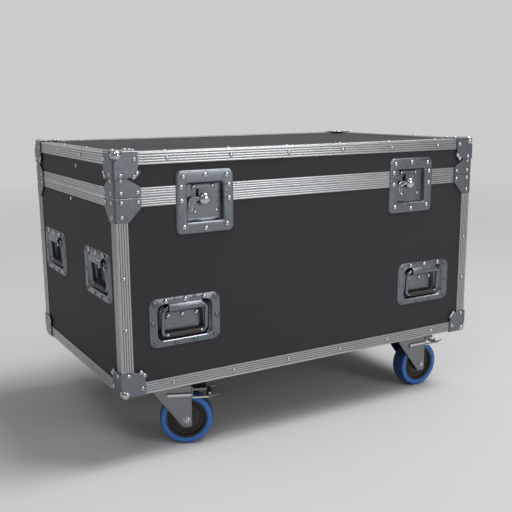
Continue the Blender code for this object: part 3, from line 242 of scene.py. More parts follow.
def inset(outline, distance):
    """Moves every side of an anticlockwise outline inward, and each point along its mitre."""
    ahead = np.roll(outline, -1, 0) - outline
    ahead = ahead / np.linalg.norm(ahead, axis=1)[:, None]
    normal = np.stack([-ahead[:, 1], ahead[:, 0]], -1)
    before = np.roll(normal, 1, 0)
    mitre = (normal + before) / (1 + (normal * before).sum(1))[:, None]
    return outline + mitre * distance


def anticlockwise(outline):
    outline = np.asarray(outline, float)
    ahead = np.roll(outline, -1, 0)
    area = (outline[:, 0] * ahead[:, 1] - outline[:, 1] * ahead[:, 0]).sum()
    return outline if area > 0 else outline[::-1]


def plate(outline, low, high, edge=0.4):
    """An outline carried from z low to z high, its rims rounded by a quarter circle of the edge's radius."""
    outline = anticlockwise(outline)
    angle = np.radians([0, 45, 90])
    inward, rise = edge * (1 - np.sin(angle)), edge * (1 - np.cos(angle))
    heights = np.concatenate([low + rise, (high - rise)[::-1]])
    margins = np.concatenate([inward, inward[::-1]])
    return skin([level(inset(outline, margin), height) for margin, height in zip(margins, heights)])


def tube(path, radius, sides=14, looped=False, reference=(0, 0, 1)):
    """A circle carried along a path: point + r (cos t N + sin t B), with N and B square to the tangent."""
    path = np.asarray(path, float)
    if looped:
        tangent = np.roll(path, -1, 0) - np.roll(path, 1, 0)
    else:
        tangent = np.gradient(path, axis=0)
    tangent /= np.linalg.norm(tangent, axis=1)[:, None]
    side = np.cross(tangent, reference)
    side /= np.linalg.norm(side, axis=1)[:, None]
    other = np.cross(tangent, side)
    angle = np.linspace(0, 2 * np.pi, sides, endpoint=False)[None, :, None]
    radius = np.broadcast_to(radius, len(path))[:, None, None]
    rows = path[:, None] + radius * (np.cos(angle) * side[:, None] + np.sin(angle) * other[:, None])
    return skin(rows, looped)


def strip(line, width, thickness, edge=0.3):
    """A flat bar bent along a line of (up, out) points: its section stays square to the line."""
    line = np.asarray(line, float)
    along = np.gradient(line, axis=0)
    along /= np.linalg.norm(along, axis=1)[:, None]
    normal = np.stack([-along[:, 1], along[:, 0]], -1)
    section = rounded_box((-width / 2, -thickness / 2), (width / 2, thickness / 2), edge, 3)
    flat = line[:, None] + section[None, :, 1:] * normal[:, None]
    across = np.broadcast_to(section[None, :, :1], (*flat.shape[:2], 1))
    return skin(np.concatenate([across, flat], -1))


def level(flat, height):
    """Flat points at one height."""
    return np.column_stack([flat, np.full(len(flat), height)])


def box(low, high, edge=0.5):
    """A box with rounded upright edges and rounded rims."""
    return plate(rounded_box(low[:2], high[:2], edge, 3), low[2], high[2], edge)


def smooth_line(corners, radius, steps=6):
    """An open line whose inner corners are rounded."""
    corners = np.asarray(corners, float)
    bends = rounded(corners, radius, steps).reshape(len(corners), -1, 2)[1:-1].reshape(-1, 2)
    return np.concatenate([corners[:1], bends, corners[-1:]])


# Places


def face(side, across=0.0, up=0.0, out=0.0):
    """A place on an outer face: x to the right, y up and z out, as someone facing it sees them."""
    right, normal = {
        "front": ((1, 0, 0), (0, -1, 0)),
        "right": ((0, 1, 0), (1, 0, 0)),
        "back": ((-1, 0, 0), (0, 1, 0)),
        "left": ((0, -1, 0), (-1, 0, 0)),
        "top": ((1, 0, 0), (0, 0, 1)),
    }[side]
    half = {"front": WIDTH / 2, "back": WIDTH / 2, "top": 0}.get(side, LENGTH / 2)
    right, normal = np.array(right, float), np.array(normal, float)
    upward = np.cross(normal, right)
    base = BODY + HEIGHT if side == "top" else BODY
    place = np.eye(4)
    place[:3, 0], place[:3, 1], place[:3, 2] = right, upward, normal
    place[:3, 3] = right * across + upward * up + normal * (half + out) + np.array((0, 0, base))
    return place


def corner_place(x, y, top=False):
    """A case corner with its three axes running into the case, mirrored where the corner needs it."""
    place = np.diag([-x, -y, -1 if top else 1, 1]).astype(float)
    place[:3, 3] = (x * LENGTH / 2, y * WIDTH / 2, BODY + (HEIGHT if top else 0))
    return place


def moved(x=0.0, y=0.0, z=0.0):
    place = np.eye(4)
    place[:3, 3] = (x, y, z)
    return place


def spun(degrees, axis):
    return np.array(Matrix.Rotation(np.radians(degrees), 4, axis))


def caster_place(corner, turning=True):
    x, y = corner
    turn = spun(SWIVEL[corner], "Z") if turning else np.eye(4)
    return moved(x * CASTER_X, y * CASTER_Y, BODY) @ turn


# Finishes


def feed(tree, made, **values):
    """Sets a node's properties and sockets by name, with _ for a space, and links another node's socket."""
    for key, value in values.items():
        socket = made.inputs.get(key.replace("_", " "))
        if socket is None:
            setattr(made, key, value)
        elif isinstance(value, bpy.types.NodeSocket):
            tree.links.new(value, socket)
        else:
            socket.default_value = value
    return made


def node(tree, kind, **values):
    return feed(tree, tree.nodes.new(kind), **values)


def link_in_order(tree, made, *values):
    """Links the first sockets of a node, and returns what the node puts out first."""
    for value, socket in zip(values, made.inputs):
        tree.links.new(value, socket)
    return made.outputs[0]


def arithmetic(tree, operation, first, second, clamped=False):
    made = node(tree, "ShaderNodeMath", operation=operation, use_clamp=clamped)
    return link_in_order(tree, made, first, second)


def blended(tree, factor, first, second):
    return node(tree, "ShaderNodeMix", data_type="FLOAT", Factor=factor, A=first, B=second).outputs["Result"]


def new_group(name, **inputs):
    """A shader node group with the given named numbers, which puts out a value, and its two end nodes."""
    tree = bpy.data.node_groups.new(name, "ShaderNodeTree")
    for label, number in inputs.items():
        socket = tree.interface.new_socket(label, in_out="INPUT", socket_type="NodeSocketFloat")
        socket.default_value = number
    tree.interface.new_socket("Value", in_out="OUTPUT", socket_type="NodeSocketFloat")
    return tree, tree.nodes.new("NodeGroupInput").outputs, tree.nodes.new("NodeGroupOutput")


def smudge_group():
    """Broad patches and fine flecks: two noises on object coordinates, summed to a value about a half."""
    tree, start, end = new_group("handling_marks", Patches=14.0, Flecks=420.0, Mix=0.4)
    where = node(tree, "ShaderNodeTexCoord").outputs["Object"]
    broad = node(tree, "ShaderNodeTexNoise", Vector=where, Scale=start["Patches"], Detail=4.0, Roughness=0.6)
    fine = node(tree, "ShaderNodeTexNoise", Vector=where, Scale=start["Flecks"], Detail=2.0, Roughness=0.5)
    feed(tree, end, Value=blended(tree, start["Mix"], broad.outputs["Fac"], fine.outputs["Fac"]))
    return tree


def spangle_group():
    """Zinc's crystal flakes: each cell of a Voronoi pattern has its own shade."""
    tree, start, end = new_group("zinc_flakes", Scale=220.0)
    where = node(tree, "ShaderNodeTexCoord").outputs["Object"]
    cells = node(tree, "ShaderNodeTexVoronoi", Vector=where, Scale=start["Scale"])
    split = node(tree, "ShaderNodeSeparateColor", Color=cells.outputs["Color"])
    feed(tree, end, Value=split.outputs["Red"])
    return tree


def group_value(tree, name, build, **values):
    """What a shared group puts out. It is built the first time that it is needed."""
    made = tree.nodes.new("ShaderNodeGroup")
    made.node_tree = bpy.data.node_groups.get(name) or build()
    return feed(tree, made, **values).outputs["Value"]


def handling_marks(tree, patches, flecks, mix):
    return group_value(tree, "handling_marks", smudge_group, Patches=patches, Flecks=flecks, Mix=mix)


def shaded(tree, factor, dark, light):
    """A colour between two shades by a varying factor."""
    shades = {"A": (*dark, 1), "B": (*light, 1)}
    return node(tree, "ShaderNodeMix", data_type="RGBA", Factor=factor, **shades).outputs["Result"]


def spread(tree, factor, low, high, start=0.3, end=0.7):
    """A value from low to high as the factor goes from start to end."""
    limits = {"From_Min": start, "From_Max": end, "To_Min": low, "To_Max": high}
    return node(tree, "ShaderNodeMapRange", Value=factor, **limits).outputs["Result"]


def tint(colour, factor):
    return tuple(min(1.0, c * factor) for c in colour)


def new_finish(name):
    material = bpy.data.materials.new(name)
    material.use_nodes = True
    return material, material.node_tree, material.node_tree.nodes["Principled BSDF"]


def dress(tree, shader, factor, colour, contrast, gloss, height, strength, distance):
    """Lets a pattern vary the shade and the gloss, and a height lift the surface."""
    share = spread(tree, factor, 0.0, 1.0)
    shade = shaded(tree, share, tint(colour, 1 - contrast), tint(colour, 1 + contrast))
    lift = node(tree, "ShaderNodeBump", Strength=strength, Distance=distance, Height=height).outputs["Normal"]
    feed(tree, shader, Base_Color=shade, Roughness=spread(tree, factor, *gloss), Normal=lift)


def metal_finish(name, colour, rough, contrast=0.12, flakes=0.0, patches=16.0):
    """A metal whose shade and gloss vary with handling, and with flakes of zinc."""
    material, tree, shader = new_finish(name)
    shader.inputs["Metallic"].default_value = 1.0
    factor = handling_marks(tree, patches, 900.0, 0.35)
    if flakes:
        factor = blended(tree, flakes, factor, group_value(tree, "zinc_flakes", spangle_group, Scale=260.0))
    dress(tree, shader, factor, colour, contrast, (rough * 0.85, rough * 1.2), factor, 0.06, 0.0001)
    return material


def laminate_finish(colour):
    """Boards faced with a finely pebbled laminate: a fine noise lifts the surface, and marks dull it."""
    material, tree, shader = new_finish("pebbled_laminate")
    shader.inputs["Specular IOR Level"].default_value = 0.12
    factor = handling_marks(tree, 7.0, 650.0, 0.55)
    pebbles = handling_marks(tree, 1100.0, 2400.0, 0.4)
    dress(tree, shader, factor, colour, 0.08, (0.5, 0.66), pebbles, 0.35, 0.0004)
    return material


def rubber_finish(name, colour, rough, contrast=0.15):
    """A moulded elastic: a fine grain, and dust that lightens and dulls it in patches."""
    material, tree, shader = new_finish(name)
    factor = handling_marks(tree, 28.0, 1500.0, 0.45)
    dress(tree, shader, factor, colour, contrast, (rough * 0.85, rough * 1.15), factor, 0.2, 0.0002)
    return material


FINISHES = {}


def make_finishes(finish):
    """Every finish once, from the colours in the sidebar."""
    FINISHES.update(
        laminate=laminate_finish(finish.laminate),
        aluminium=metal_finish("ribbed_aluminium", finish.aluminium, 0.3, 0.06, patches=9.0),
        # Painted shade: the groove finish darkens the bottoms of the edging's and the rims' grooves
        groove=metal_finish("edging_groove_painted_shade", finish.groove, 0.55, 0.1),
        # Painted shade round the foot of each rivet head and inside its pin hole
        grime=rubber_finish("rivet_painted_shade", finish.grime, 0.6, 0.2),
        plated=metal_finish("plated_steel", finish.plated, 0.3, 0.1, flakes=0.25),
        # Bright steel: the rivets' own colour, and a painted highlight on the wings' rims and the pedals'
        # bars
        bright=metal_finish("bright_steel", finish.bright, 0.2, 0.05),
        polished=metal_finish("polished_steel", finish.polished, 0.13, 0.04),
        rod=metal_finish("plated_rod", finish.plated, 0.14, 0.08),
        zinc=metal_finish("zinc_sheet", finish.zinc, 0.36, 0.08, flakes=0.3),
        # Painted shade: the caster plates are coloured near black for the shade under the case
        mount=metal_finish("caster_plate_painted_shade", finish.mount, 0.45, 0.12, flakes=0.3),
        tyre=rubber_finish("blue_tyre", finish.tyre, 0.5),
        # Painted shade on the tyres' tread and shoulders
        tread=rubber_finish("painted_shade_tread", finish.tread, 0.6, 0.3),
        core=rubber_finish("wheel_core", finish.core, 0.42, 0.25),
        rubber=rubber_finish("grip_sleeve", finish.rubber, 0.55, 0.2),
    )


# Pieces


def shown(name, data):
    """A new object in the scene."""
    made = bpy.data.objects.new(name, data)
    bpy.context.scene.collection.objects.link(made)
    return made


def piece(name, shapes, body, finish, replaces=(), dark=None, place=None):
    """Writes the joined shapes, at a place, to one mesh in metres and lets it ride on a body."""
    if place is not None:
        shapes = [placed(shape, place) for shape in shapes]
    points, quads, caps, shades = joined(shapes)
    mesh = bpy.data.meshes.new(name)
    mesh.from_pydata((points * MM).tolist(), [], quads.tolist() + [cap.tolist() for cap in caps])
    mesh.materials.append(FINISHES[finish])
    if dark:
        mesh.materials.append(FINISHES[dark])
        mesh.polygons.foreach_set("material_index", np.concatenate([shades, np.zeros(len(caps), int)]))
    mesh.set_sharp_from_angle(angle=np.radians(SHARP_ANGLE))
    mesh.polygons.foreach_set("use_smooth", np.arange(len(quads) + len(caps)) < len(quads))
    made = shown(name, mesh)
    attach(made, body)
    if replaces:
        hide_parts(*replaces)


def rivet_piece(name, heads, body):
    # The rivets' second finish paints shade round their heads and in their pin holes
    piece(name, heads, body, "bright", dark="grime")


def redress(name, finish):
    """Gives a solid that stays in view its finish."""
    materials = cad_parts[name].data.materials
    materials.clear()
    materials.append(FINISHES[finish])


# Rivets


def rivet(radius, height, steps=14):
    """A pop rivet's domed head with the hole of its pulled pin, in a ring, turned round. The ring and the
    hole's walls are painted dark, as painted shade.
    """
    profile = [
        (radius + 0.55, -0.4),
        (radius + 0.55, 0.05),
        (radius, 0.08),
        (radius, 0.2 * height),
        (radius * 0.88, 0.6 * height),
        (radius * 0.6, 0.92 * height),
        (radius * 0.3, height),
        (radius * 0.24, height * 0.6),
        (radius * 0.2, height * 0.55),
    ]
    return turned(profile, steps, dark=[1, 1, 0, 0, 0, 0, 1, 1])


def rivets(spots, place, radius, height=None):
    """Rivet heads at (x, y) spots on one face's place."""
    head = rivet(radius, height or radius * 0.55)
    return joined([placed(head, place @ moved(x, y)) for x, y in spots])


# Edging


def ribbed(ribs, depth, length, groove=1.3, crown=0.22):
    """Ribs along a leg as (distance, offset) points, and which points lie in a groove.

    Across each rib v runs from 0 to 1 and the offset is crown (2v - 1)^2; between two ribs it is the depth.
    """
    pitch = length / ribs
    v = np.linspace(0, 1, 5)
    top = np.column_stack([groove / 2 + v * (pitch - groove), crown * (2 * v - 1) ** 2])
    gap = np.array([(-0.3 * groove, depth), (0.3 * groove, depth)])
    one = np.concatenate([gap, top])
    starts = np.arange(ribs) * pitch
    points = (one[None] + np.stack([starts, 0 * starts], -1)[:, None]).reshape(-1, 2)[2:]
    inside = np.tile(np.arange(len(one)) < 2, ribs)[2:]
    return points, inside


def dark_steps(inside):
    """A step is dark, with painted shade, where either of its ends lies in a groove."""
    return inside | np.roll(inside, -1)


def angle_section(ribs, depth, leg, wall):
    """An angle's section with its corner at the origin and both outer legs ribbed, and its dark steps."""
    points, inside = ribbed(ribs, depth, leg - 1.0)
    first = np.stack([points[:, 1], leg - points[:, 0]], -1)
    second = np.stack([1.0 + points[::-1, 0], points[::-1, 1]], -1)[::-1]
    bend = arc((1.2, 1.2), 1.2, 180, 270, 4)
    inner = np.array([(leg, wall), (wall + 0.8, wall), (wall, wall + 0.8), (wall, leg)])
    section = np.concatenate([first, bend, second, inner])
    flags = np.concatenate([inside, np.zeros(len(bend), bool), inside, np.zeros(len(inner), bool)])
    return section, dark_steps(flags)


def carried(section, dark, stops, looped=False, from_top=False):
    """A section of (inset, height) points carried along the case's outline, with mitred corners.

    At a stop, -1 or 1 stands for a side of the case, and any other x for a place along its front.
    """
    half_x, half_y = LENGTH / 2 - section[:, 0], WIDTH / 2 - section[:, 0]
    height = BODY + (HEIGHT - section[:, 1] if from_top else section[:, 1])
    rows = []
    for x, y in stops:
        across = x * half_x if x in ENDS else np.full(len(section), x)
        rows.append(np.column_stack([across, y * half_y, height]))
    return skin(rows, looped, dark)


def stile(section, dark, x, y, low, high):
    return placed(skin([level(section + STILE_INSET, z) for z in (low, high)], dark=dark), corner_place(x, y))


def rim_shapes(section, dark, joined_behind):
    """The rim in runs that leave room for the two latches, and the strips that join the lid's runs behind."""
    far = LATCH_X + LATCH_SLOT
    near = LATCH_X - LATCH_SLOT
    behind = [(far, -1), (1, -1), (1, 1), (-1, 1), (-1, -1), (-far, -1)]
    shapes = [carried(section, dark, stops) for stops in (behind, [(-near, -1), (near, -1)])]
    back = BOARD_BACK + 0.4 - WIDTH / 2
    for x in (-LATCH_X, LATCH_X) if joined_behind else ():
        start = (x - LATCH_SLOT - 1, back, BODY + SEAM + 0.3)
        end = (x + LATCH_SLOT + 1, back + 1.2, BODY + SEAM + 14.4)
        shapes.append(box(start, end, 0.3))
    return shapes


def rim_rest(points, inside, rest):
    """A rim's ribbed outer flange and the rest of its section, with the dark steps."""
    section = np.concatenate([points, np.array(rest)])
    return section, dark_steps(np.concatenate([inside, np.zeros(len(rest), bool)]))


def base_rim_section(depth):
    """Ribbed outer flange, tongue, and inner flange of the base's rim, as (inset, height) points."""
    top, low = SEAM - 0.25, SEAM - 16.4
    points, inside = ribbed(4, depth, top - low - 0.3, 1.1)
    outer = np.stack([RIM_INSET + points[:, 1], low + points[:, 0]], -1)
    tongue, tip = 7.5, top + 4.0
    rest = [
        (1.2, top), (tongue - 1.6, top), (tongue - 1.1, tip - 0.8), (tongue - 0.4, tip), (tongue + 0.4, tip),
        (tongue + 1.1, tip - 0.8), (tongue + 1.6, top), (12.7, top), (13.0, top - 0.4), (13.0, low + 2),
        (11.6, low + 2), (11.6, top - 2.2), (2.0, top - 2.2), (2.0, low),
    ]
    return rim_rest(outer, inside, rest)


def lid_rim_section(depth):
    """Ribbed outer flange, channel for the tongue, and inner flange of the lid's rim."""
    low, top = SEAM + 0.25, SEAM + 16.4
    points, inside = ribbed(4, depth, top - low - 0.3, 1.1)
    outer = np.stack([RIM_INSET + points[:, 1], top - points[:, 0]], -1)
    tongue, roof = 7.5, low + 4.7
    rest = [
        (1.2, low), (tongue - 2.3, low), (tongue - 2.0, roof), (tongue + 2.0, roof), (tongue + 2.3, low),
        (12.7, low), (13.0, low + 0.4), (13.0, top), (11.6, top),
        (11.6, roof + 1.1), (2.0, roof + 1.1), (2.0, top),
    ]
    return rim_rest(outer, inside, rest)


# Braces and ball corners


def folded_sheet(heights, reach, low_out, high_out):
    """A sheet over an upright corner. The half-width follows the height, and u runs round the fold.

    Along a face the point is (radius + u - bend, out). Round the fold it is centre + (radius + out) times
    the unit vector at angle u / radius.
    """
    radius = 2.4
    bend = radius * np.pi / 4
    turns = np.concatenate([np.linspace(-2, -1, 5), np.linspace(-1, 1, 9)[1:-1], np.linspace(1, 2, 5)])
    outs = np.full(len(turns), high_out)
    turns = np.concatenate([turns, turns[::-1]])
    outs = np.concatenate([outs, np.full(len(outs), low_out)])
    middle = (low_out + high_out) / 2
    rows = []
    for height, half, share in zip(heights, reach, np.r_[0.35, np.ones(len(heights) - 2), 0.35]):
        u = np.clip(turns, -1, 1) * bend + np.sign(turns) * np.clip(np.abs(turns) - 1, 0, 1) * (half - bend)
        out = middle + (outs - middle) * share
        angle = np.clip(u / radius, -np.pi / 4, np.pi / 4)
        past = np.clip(np.abs(u) - bend, 0, None) * np.sign(u)
        diagonal = np.pi * 1.25 + angle
        spot = np.stack([np.cos(diagonal), np.sin(diagonal)], -1) * (radius + out)[:, None] + radius
        along = np.stack([-np.sin(diagonal), np.cos(diagonal)], -1)
        rows.append(np.column_stack([spot + along * past[:, None], np.full(len(u), height)]))
    return skin(rows)


def brace_shape(x, y, outline, low_out=-0.3, high_out=1.2):
    """A pressed brace whose half-width is read from its outline at 24 heights."""
    outline = np.asarray(outline, float)
    low, high = outline[:, 1].min(), outline[:, 1].max()
    heights = np.concatenate([[low], np.linspace(low + 0.5, high - 0.5, 24), [high]])
    order = np.argsort(outline[:, 1], kind="stable")
    reach = np.interp(heights, outline[order, 1], outline[order, 0])
    reach[[0, -1]] -= 0.6
    return placed(folded_sheet(heights, reach, low_out, high_out), corner_place(x, y))


def lid_brace_outline():
    low = SEAM + 0.5
    return [(45.4, low), (46, low + 0.8), (46, SEAM + 17.2), (23, SEAM + 31.6), (22, SEAM + 32.2)]


def base_brace_outline():
    top = SEAM - 0.5
    return [(22, SEAM - 40.9), (23, SEAM - 40.3), (46, SEAM - 15.9), (46, top - 0.8), (45.4, top)]


def corner_flange():
    """One flange of a ball corner: square, with a lobe on its diagonal that carries two rivets.

    Its inner corner is cut back on a curve, which leaves the ball standing free.
    """
    reach = BALL_CLEAR - 4.0
    corners = [
        (0.6 + reach, 0.6), (43, 0.6), (43, 24), (41, 28), (47.5, 33.5),
        (33.5, 47.5), (28, 41), (24, 43), (0.6, 43), (0.6, 0.6 + reach),
    ]
    outer = smooth_line(corners, [1, 1.8, 1.5, 1.2, 2.5, 2.5, 1.2, 1.5, 1.8, 1], 3)
    hollow = arc((0.6, 0.6), reach, 82, 8, 8)
    return np.concatenate([outer, hollow])


# The turns that take a flange to each of a corner's three faces
THREE_WAYS = [np.eye(4)[order] for order in ([0, 1, 2, 3], [1, 2, 0, 3], [2, 0, 1, 3])]


def ball_corner_shapes(x, y, top):
    """Three flanges and the folds between them, mirrored to their corner, with a rounded seat block in the
    corner under the ball.
    """
    place = corner_place(x, y, top)
    flat = placed(plate(corner_flange(), 0.7, 2.2, 0.5), np.diag([1, 1, -1, 1]))
    centre = (0.6, 0.6)
    stops = ((BALL_CLEAR - 3.6, 0.4), (BALL_CLEAR - 2.6, 0.85), (BALL_CLEAR - 1.0, 1), (42.6, 1), (43, 0.5))
    rows = []
    for z, share in stops:
        outer = arc(centre, 2.05 + 0.75 * share, 180, 270, 6)
        inner = arc(centre, 2.05 - 0.75 * share, 270, 180, 6)
        rows.append(level(np.concatenate([outer, inner]), z))
    fold = skin(rows)
    seat = placed(box((-0.9, -0.9, -0.9), (18, 18, 18), 1.8), place)
    return [seat] + [placed(shape, place @ turn) for turn in THREE_WAYS for shape in (flat, fold)]


def corner_ball(x, y, top, ball):
    """A ball of latitude rings, r (cos a, sin a), set in a little from the corner."""
    latitude = np.radians(np.linspace(-89, 89, 22))
    sphere = turned(np.stack([ball * np.cos(latitude), ball * np.sin(latitude)], -1), 32)
    return placed(sphere, corner_place(x, y, top) @ moved(*BALL_INSET))


def corner_rivet_places(x, y, top):
    """Four rivets on each of a ball corner's flanges, with z pointing out of the flange."""
    spots = ((12, 36), (38, 11.5), (35.4, 40), (41, 34.4))
    place = corner_place(x, y, top)
    places = []
    for turn in THREE_WAYS:
        for a, b in spots:
            out = place @ turn @ moved(a, b, -2.2) @ np.diag([1, 1, -1, 1.0])
            if np.linalg.det(out[:3, :3]) < 0:
                out = out @ np.diag([-1, 1, 1, 1.0])
            places.append(out)
    return places


# Handles


def handle_spots():
    """Each handle's name, side of the case, and place on it to the right and up."""
    return (
        ("front_left", "front", -HANDLE_X, HANDLE_Z),
        ("front_right", "front", HANDLE_X, HANDLE_Z),
        ("left_front", "left", HANDLE_END_Y, HANDLE_END_Z),
        ("left_back", "left", -HANDLE_END_Y, HANDLE_END_Z),
        ("right_front", "right", -HANDLE_END_Y, HANDLE_END_Z),
        ("right_back", "right", HANDLE_END_Y, HANDLE_END_Z),
    )


def spread_box(low, high, margin):
    return (low[0] - margin, low[1] - margin), (high[0] + margin, high[1] + margin)


def dish_rows(steps):
    """Rounded boxes of (low, high, radius, depth) steps, then the same wall seen from behind."""
    front, back = [], []
    for low, high, radius, depth in steps:
        front.append(level(rounded_box(low, high, radius), depth))
        slope = 0.0 if depth > -0.6 else DISH_WALL * 0.6
        back.append(level(rounded_box(*spread_box(low, high, slope), radius + slope), depth - DISH_WALL))
    return front[::-1] + back


def handle_dish_shape():
    """The dish from its turned-down edge over the flange and the lip's bead to the floor."""
    flange = ((-68.5, -43.5), (68.5, 43.5))
    lip = ((-53, -32.6), (53, 32.6))
    floor = ((-42, -27.6), (42, 27.6))
    steps = [
        (*flange, 14, -0.9),
        (*spread_box(*flange, -0.3), 13.7, -0.35),
        (*spread_box(*flange, -1.2), 13, 0),
        (*spread_box(*lip, 3.4), 15.4, 0),
        (*spread_box(*lip, 2.2), 14.2, 0.55),
        (*spread_box(*lip, 1.0), 13, 0.5),
        (*spread_box(*lip, 0.1), 12, -0.3),
        (*spread_box(*lip, -0.7), 11.4, -1.8),
        ((-50.4, -31.3), (50.4, 31.3), 10.6, -4.6),
        ((-48.6, -30.8), (48.6, 30.8), 9.6, -5.4),
        ((-47.6, -30.4), (47.6, 30.4), 9.0, -6.6),
        ((-43.6, -28.5), (43.6, 28.5), 7.6, -12.6),
        ((-42.8, -28.0), (42.8, 28.0), 7, -14.2),
        ((-41.4, -27.0), (41.4, 27.0), 6, -15),
        (*spread_box(*floor, -3.5), 5, -15),
    ]
    return skin(dish_rows(steps))


def strap_shape():
    """The cover over the bail's rod: it slopes up from the flange and drops to the floor."""
    line = [
        (40.2, 0.45), (36, 0.45), (32.6, 0.45), (31.9, 0.6), (31.3, 1.1), (28.9, 3.2),
        (28.2, 3.7), (27.2, 3.9), (24, 3.95), (21.6, 3.9), (20.4, 3.5), (19.6, 2.6),
        (19.0, 0), (18.2, -5), (15.8, -12.0), (13.4, -14.1), (11.0, -14.55), (3.0, -14.55),
    ]
    return strip(line, 65, 1.5, 0.5)


def bail_shapes():
    """The bent rod as a tube round a rounded rectangle, and the grip sleeve on its lower run."""
    rod = tube(level(rounded_box((-42, -50), (42, 0), 9, 8), 0), 4.0, 16, looped=True)
    x = np.array([-31, -30.6, -29.6, -24, 24, 29.6, 30.6, 31.0])
    radius = np.array([4.05, 4.6, 4.95, 4.95, 4.95, 4.95, 4.6, 4.05])
    sleeve = tube(np.column_stack([x, np.full(len(x), -50.0), np.zeros(len(x))]), radius, 20)
    return rod, sleeve


HANDLE_SMALL_RIVETS = [
    (sign * x, y)
    for x, y in ((58.3, 35.6), (58, -35.6), (62, 0.5), (18.3, 39.2), (18.3, -38.6))
    for sign in ENDS
]
HANDLE_FLANGE_RIVETS = ((-37.2, 38.6), (0, 38.6), (37.2, 38.6))
HANDLE_FLOOR_RIVETS = ((-28, 7.5), (0, 7.5), (28, 7.5))


# Latches


def latch_dish_steps():
    flange = ((-55.5, -69.4), (55.5, 40.6))
    lip = ((-36, -50.4), (36, 19.4))
    return [
        (*flange, 10, -1.3),
        (*spread_box(*flange, -0.5), 9.6, -0.6),
        (*spread_box(*flange, -1.8), 8.6, -0.1),
        (*spread_box(*flange, -4.0), 7, 0.1),
        (*spread_box(*lip, 2.6), 6, 0.1),
        (*spread_box(*lip, 0.9), 4.6, 0.0),
        (*spread_box(*lip, -0.2), 4, -0.8),
        (*spread_box(*lip, -0.9), 3.6, -2.4),
        ((-33.2, -47.4), (33.2, 16.6), 3.2, -8.6),
        ((-32.6, -46.8), (32.6, 16.0), 3.0, -9.6),
        ((-31.6, -45.9), (31.6, 15.0), 2.6, -10.3),
        ((-30.4, -44.8), (30.4, 13.8), 2, -10.5),
    ]


def latch_half_shapes(sign):
    """Half of the dish, under the seam or over it: the wall's section carried round, and the floor."""
    rows = np.array(dish_rows(latch_dish_steps()))
    arcs = rows.shape[1] // 4
    rows = np.roll(rows, arcs, 1)[:, : 2 * arcs] if sign < 0 else rows[:, arcs : 3 * arcs]
    seam = sign * SEAM_GAP
    ends = rows[:, [0, -1]].copy()
    ends[..., 1] = seam
    path = np.concatenate([ends[:, :1], rows, ends[:, 1:]], 1)
    flat = inset(path[0, :, :2], -0.4)
    flat[:, 1] = np.clip(flat[:, 1], *((-np.inf, seam) if sign < 0 else (seam, np.inf)))
    return [skin(path.transpose(1, 0, 2)), skin([level(flat, -11.9), level(flat, -10.52)])]


def spindle_shape():
    """The shaft and its round knob: a turned profile that ends in a quarter of an ellipse."""
    angle = np.radians(np.linspace(0, 88, 12))
    head = np.stack([10.8 * np.cos(angle), -3.2 + 6.2 * np.sin(angle)], -1)
    rim = [(7.0, -10.2), (7.0, -4.4), (10.0, -4.4), (10.7, -3.9)]
    return turned(np.concatenate([rim, head]), 36)


def wing_shapes():
    """The wing: a sickle-shaped blade with a rolled rim, along (1-t)^2 A + 2t(1-t) B + t^2 C.

    Its half-width is 1.9 + 2.4 sin(pi t^0.8) - 0.7 t.
    """
    t = np.linspace(0, 1, 29)[:, None]
    root, knee, tip = np.array([(-12.4, 0.8), (-34.0, 4.0), (-25.6, -18.8)])
    middle = (1 - t) ** 2 * root + 2 * t * (1 - t) * knee + t**2 * tip
    run = (1 - t) * (knee - root) + t * (tip - knee)
    run /= np.linalg.norm(run, axis=1)[:, None]
    side = np.stack([-run[:, 1], run[:, 0]], -1)
    half = 1.9 + 2.4 * np.sin(np.pi * t**0.8) - 0.7 * t
    outline = np.concatenate([middle + side * half, (middle - side * half)[::-1]])
    blade = plate(outline, -3.3, -2.5, 0.3)
    rolled = tube(level(outline, -2.2), 0.95, 8, looped=True)
    return blade, rolled


def hook_shapes():
    """The tongue plate, which straddles the shaft under the knob, and its turned-in lip."""
    corners = [
        (-11.4, -1.8), (-8.4, -1.8), (-8.4, 8.4), (8.4, 8.4),
        (8.4, -1.8), (11.4, -1.8), (11.4, 18.4), (-11.4, 18.4),
    ]
    tongue = plate(rounded(corners, [1, 1, 5, 5, 1, 1, 1.5, 1.5], 4), -1, 1, 0.4)
    lip = box((-11.4, 16.6, -2.5), (11.4, 18.4, 0.6), 0.4)
    return [tongue, lip]


def latch_lugs():
    """The two lugs beside the shaft."""
    spans = [sorted((hand * 11.7, hand * 14.2)) for hand in ENDS]
    middle = -LATCH_PIVOT_DROP
    return [box((start, middle - 3, -10.8), (end, middle + 3, -5.2), 0.6) for start, end in spans]


LATCH_FLANGE_RIVETS = (
    (-42, -57), (42, -57), (0, -61.8), (-46.2, -11.4), (46.2, -11.4),
    (-42, 29.8), (42, 29.8), (0, 31.8), (-46.4, 12.3), (46.4, 12.3),
)
LATCH_FLOOR_RIVETS = ((-16, -32.8), (26, -32.8))
KEEPER_RIVETS = ((-18.2, 11.2), (18.2, 11.2))


# Casters


def on_side(shape):
    """A shape with its y and z changed over."""
    points, *rest = shape
    return points[:, [0, 2, 1]], *rest


def upright_plate(outline, low, high, edge=0.5):
    """A plate whose outline is in (x, z) and whose thickness runs along y."""
    return on_side(plate(outline, low, high, edge))


def side_turned(profile, steps=48, looped=False, dark=None):
    """A turned profile of (radius, side) points round the y axis."""
    return on_side(turned(profile, steps, looped, dark))


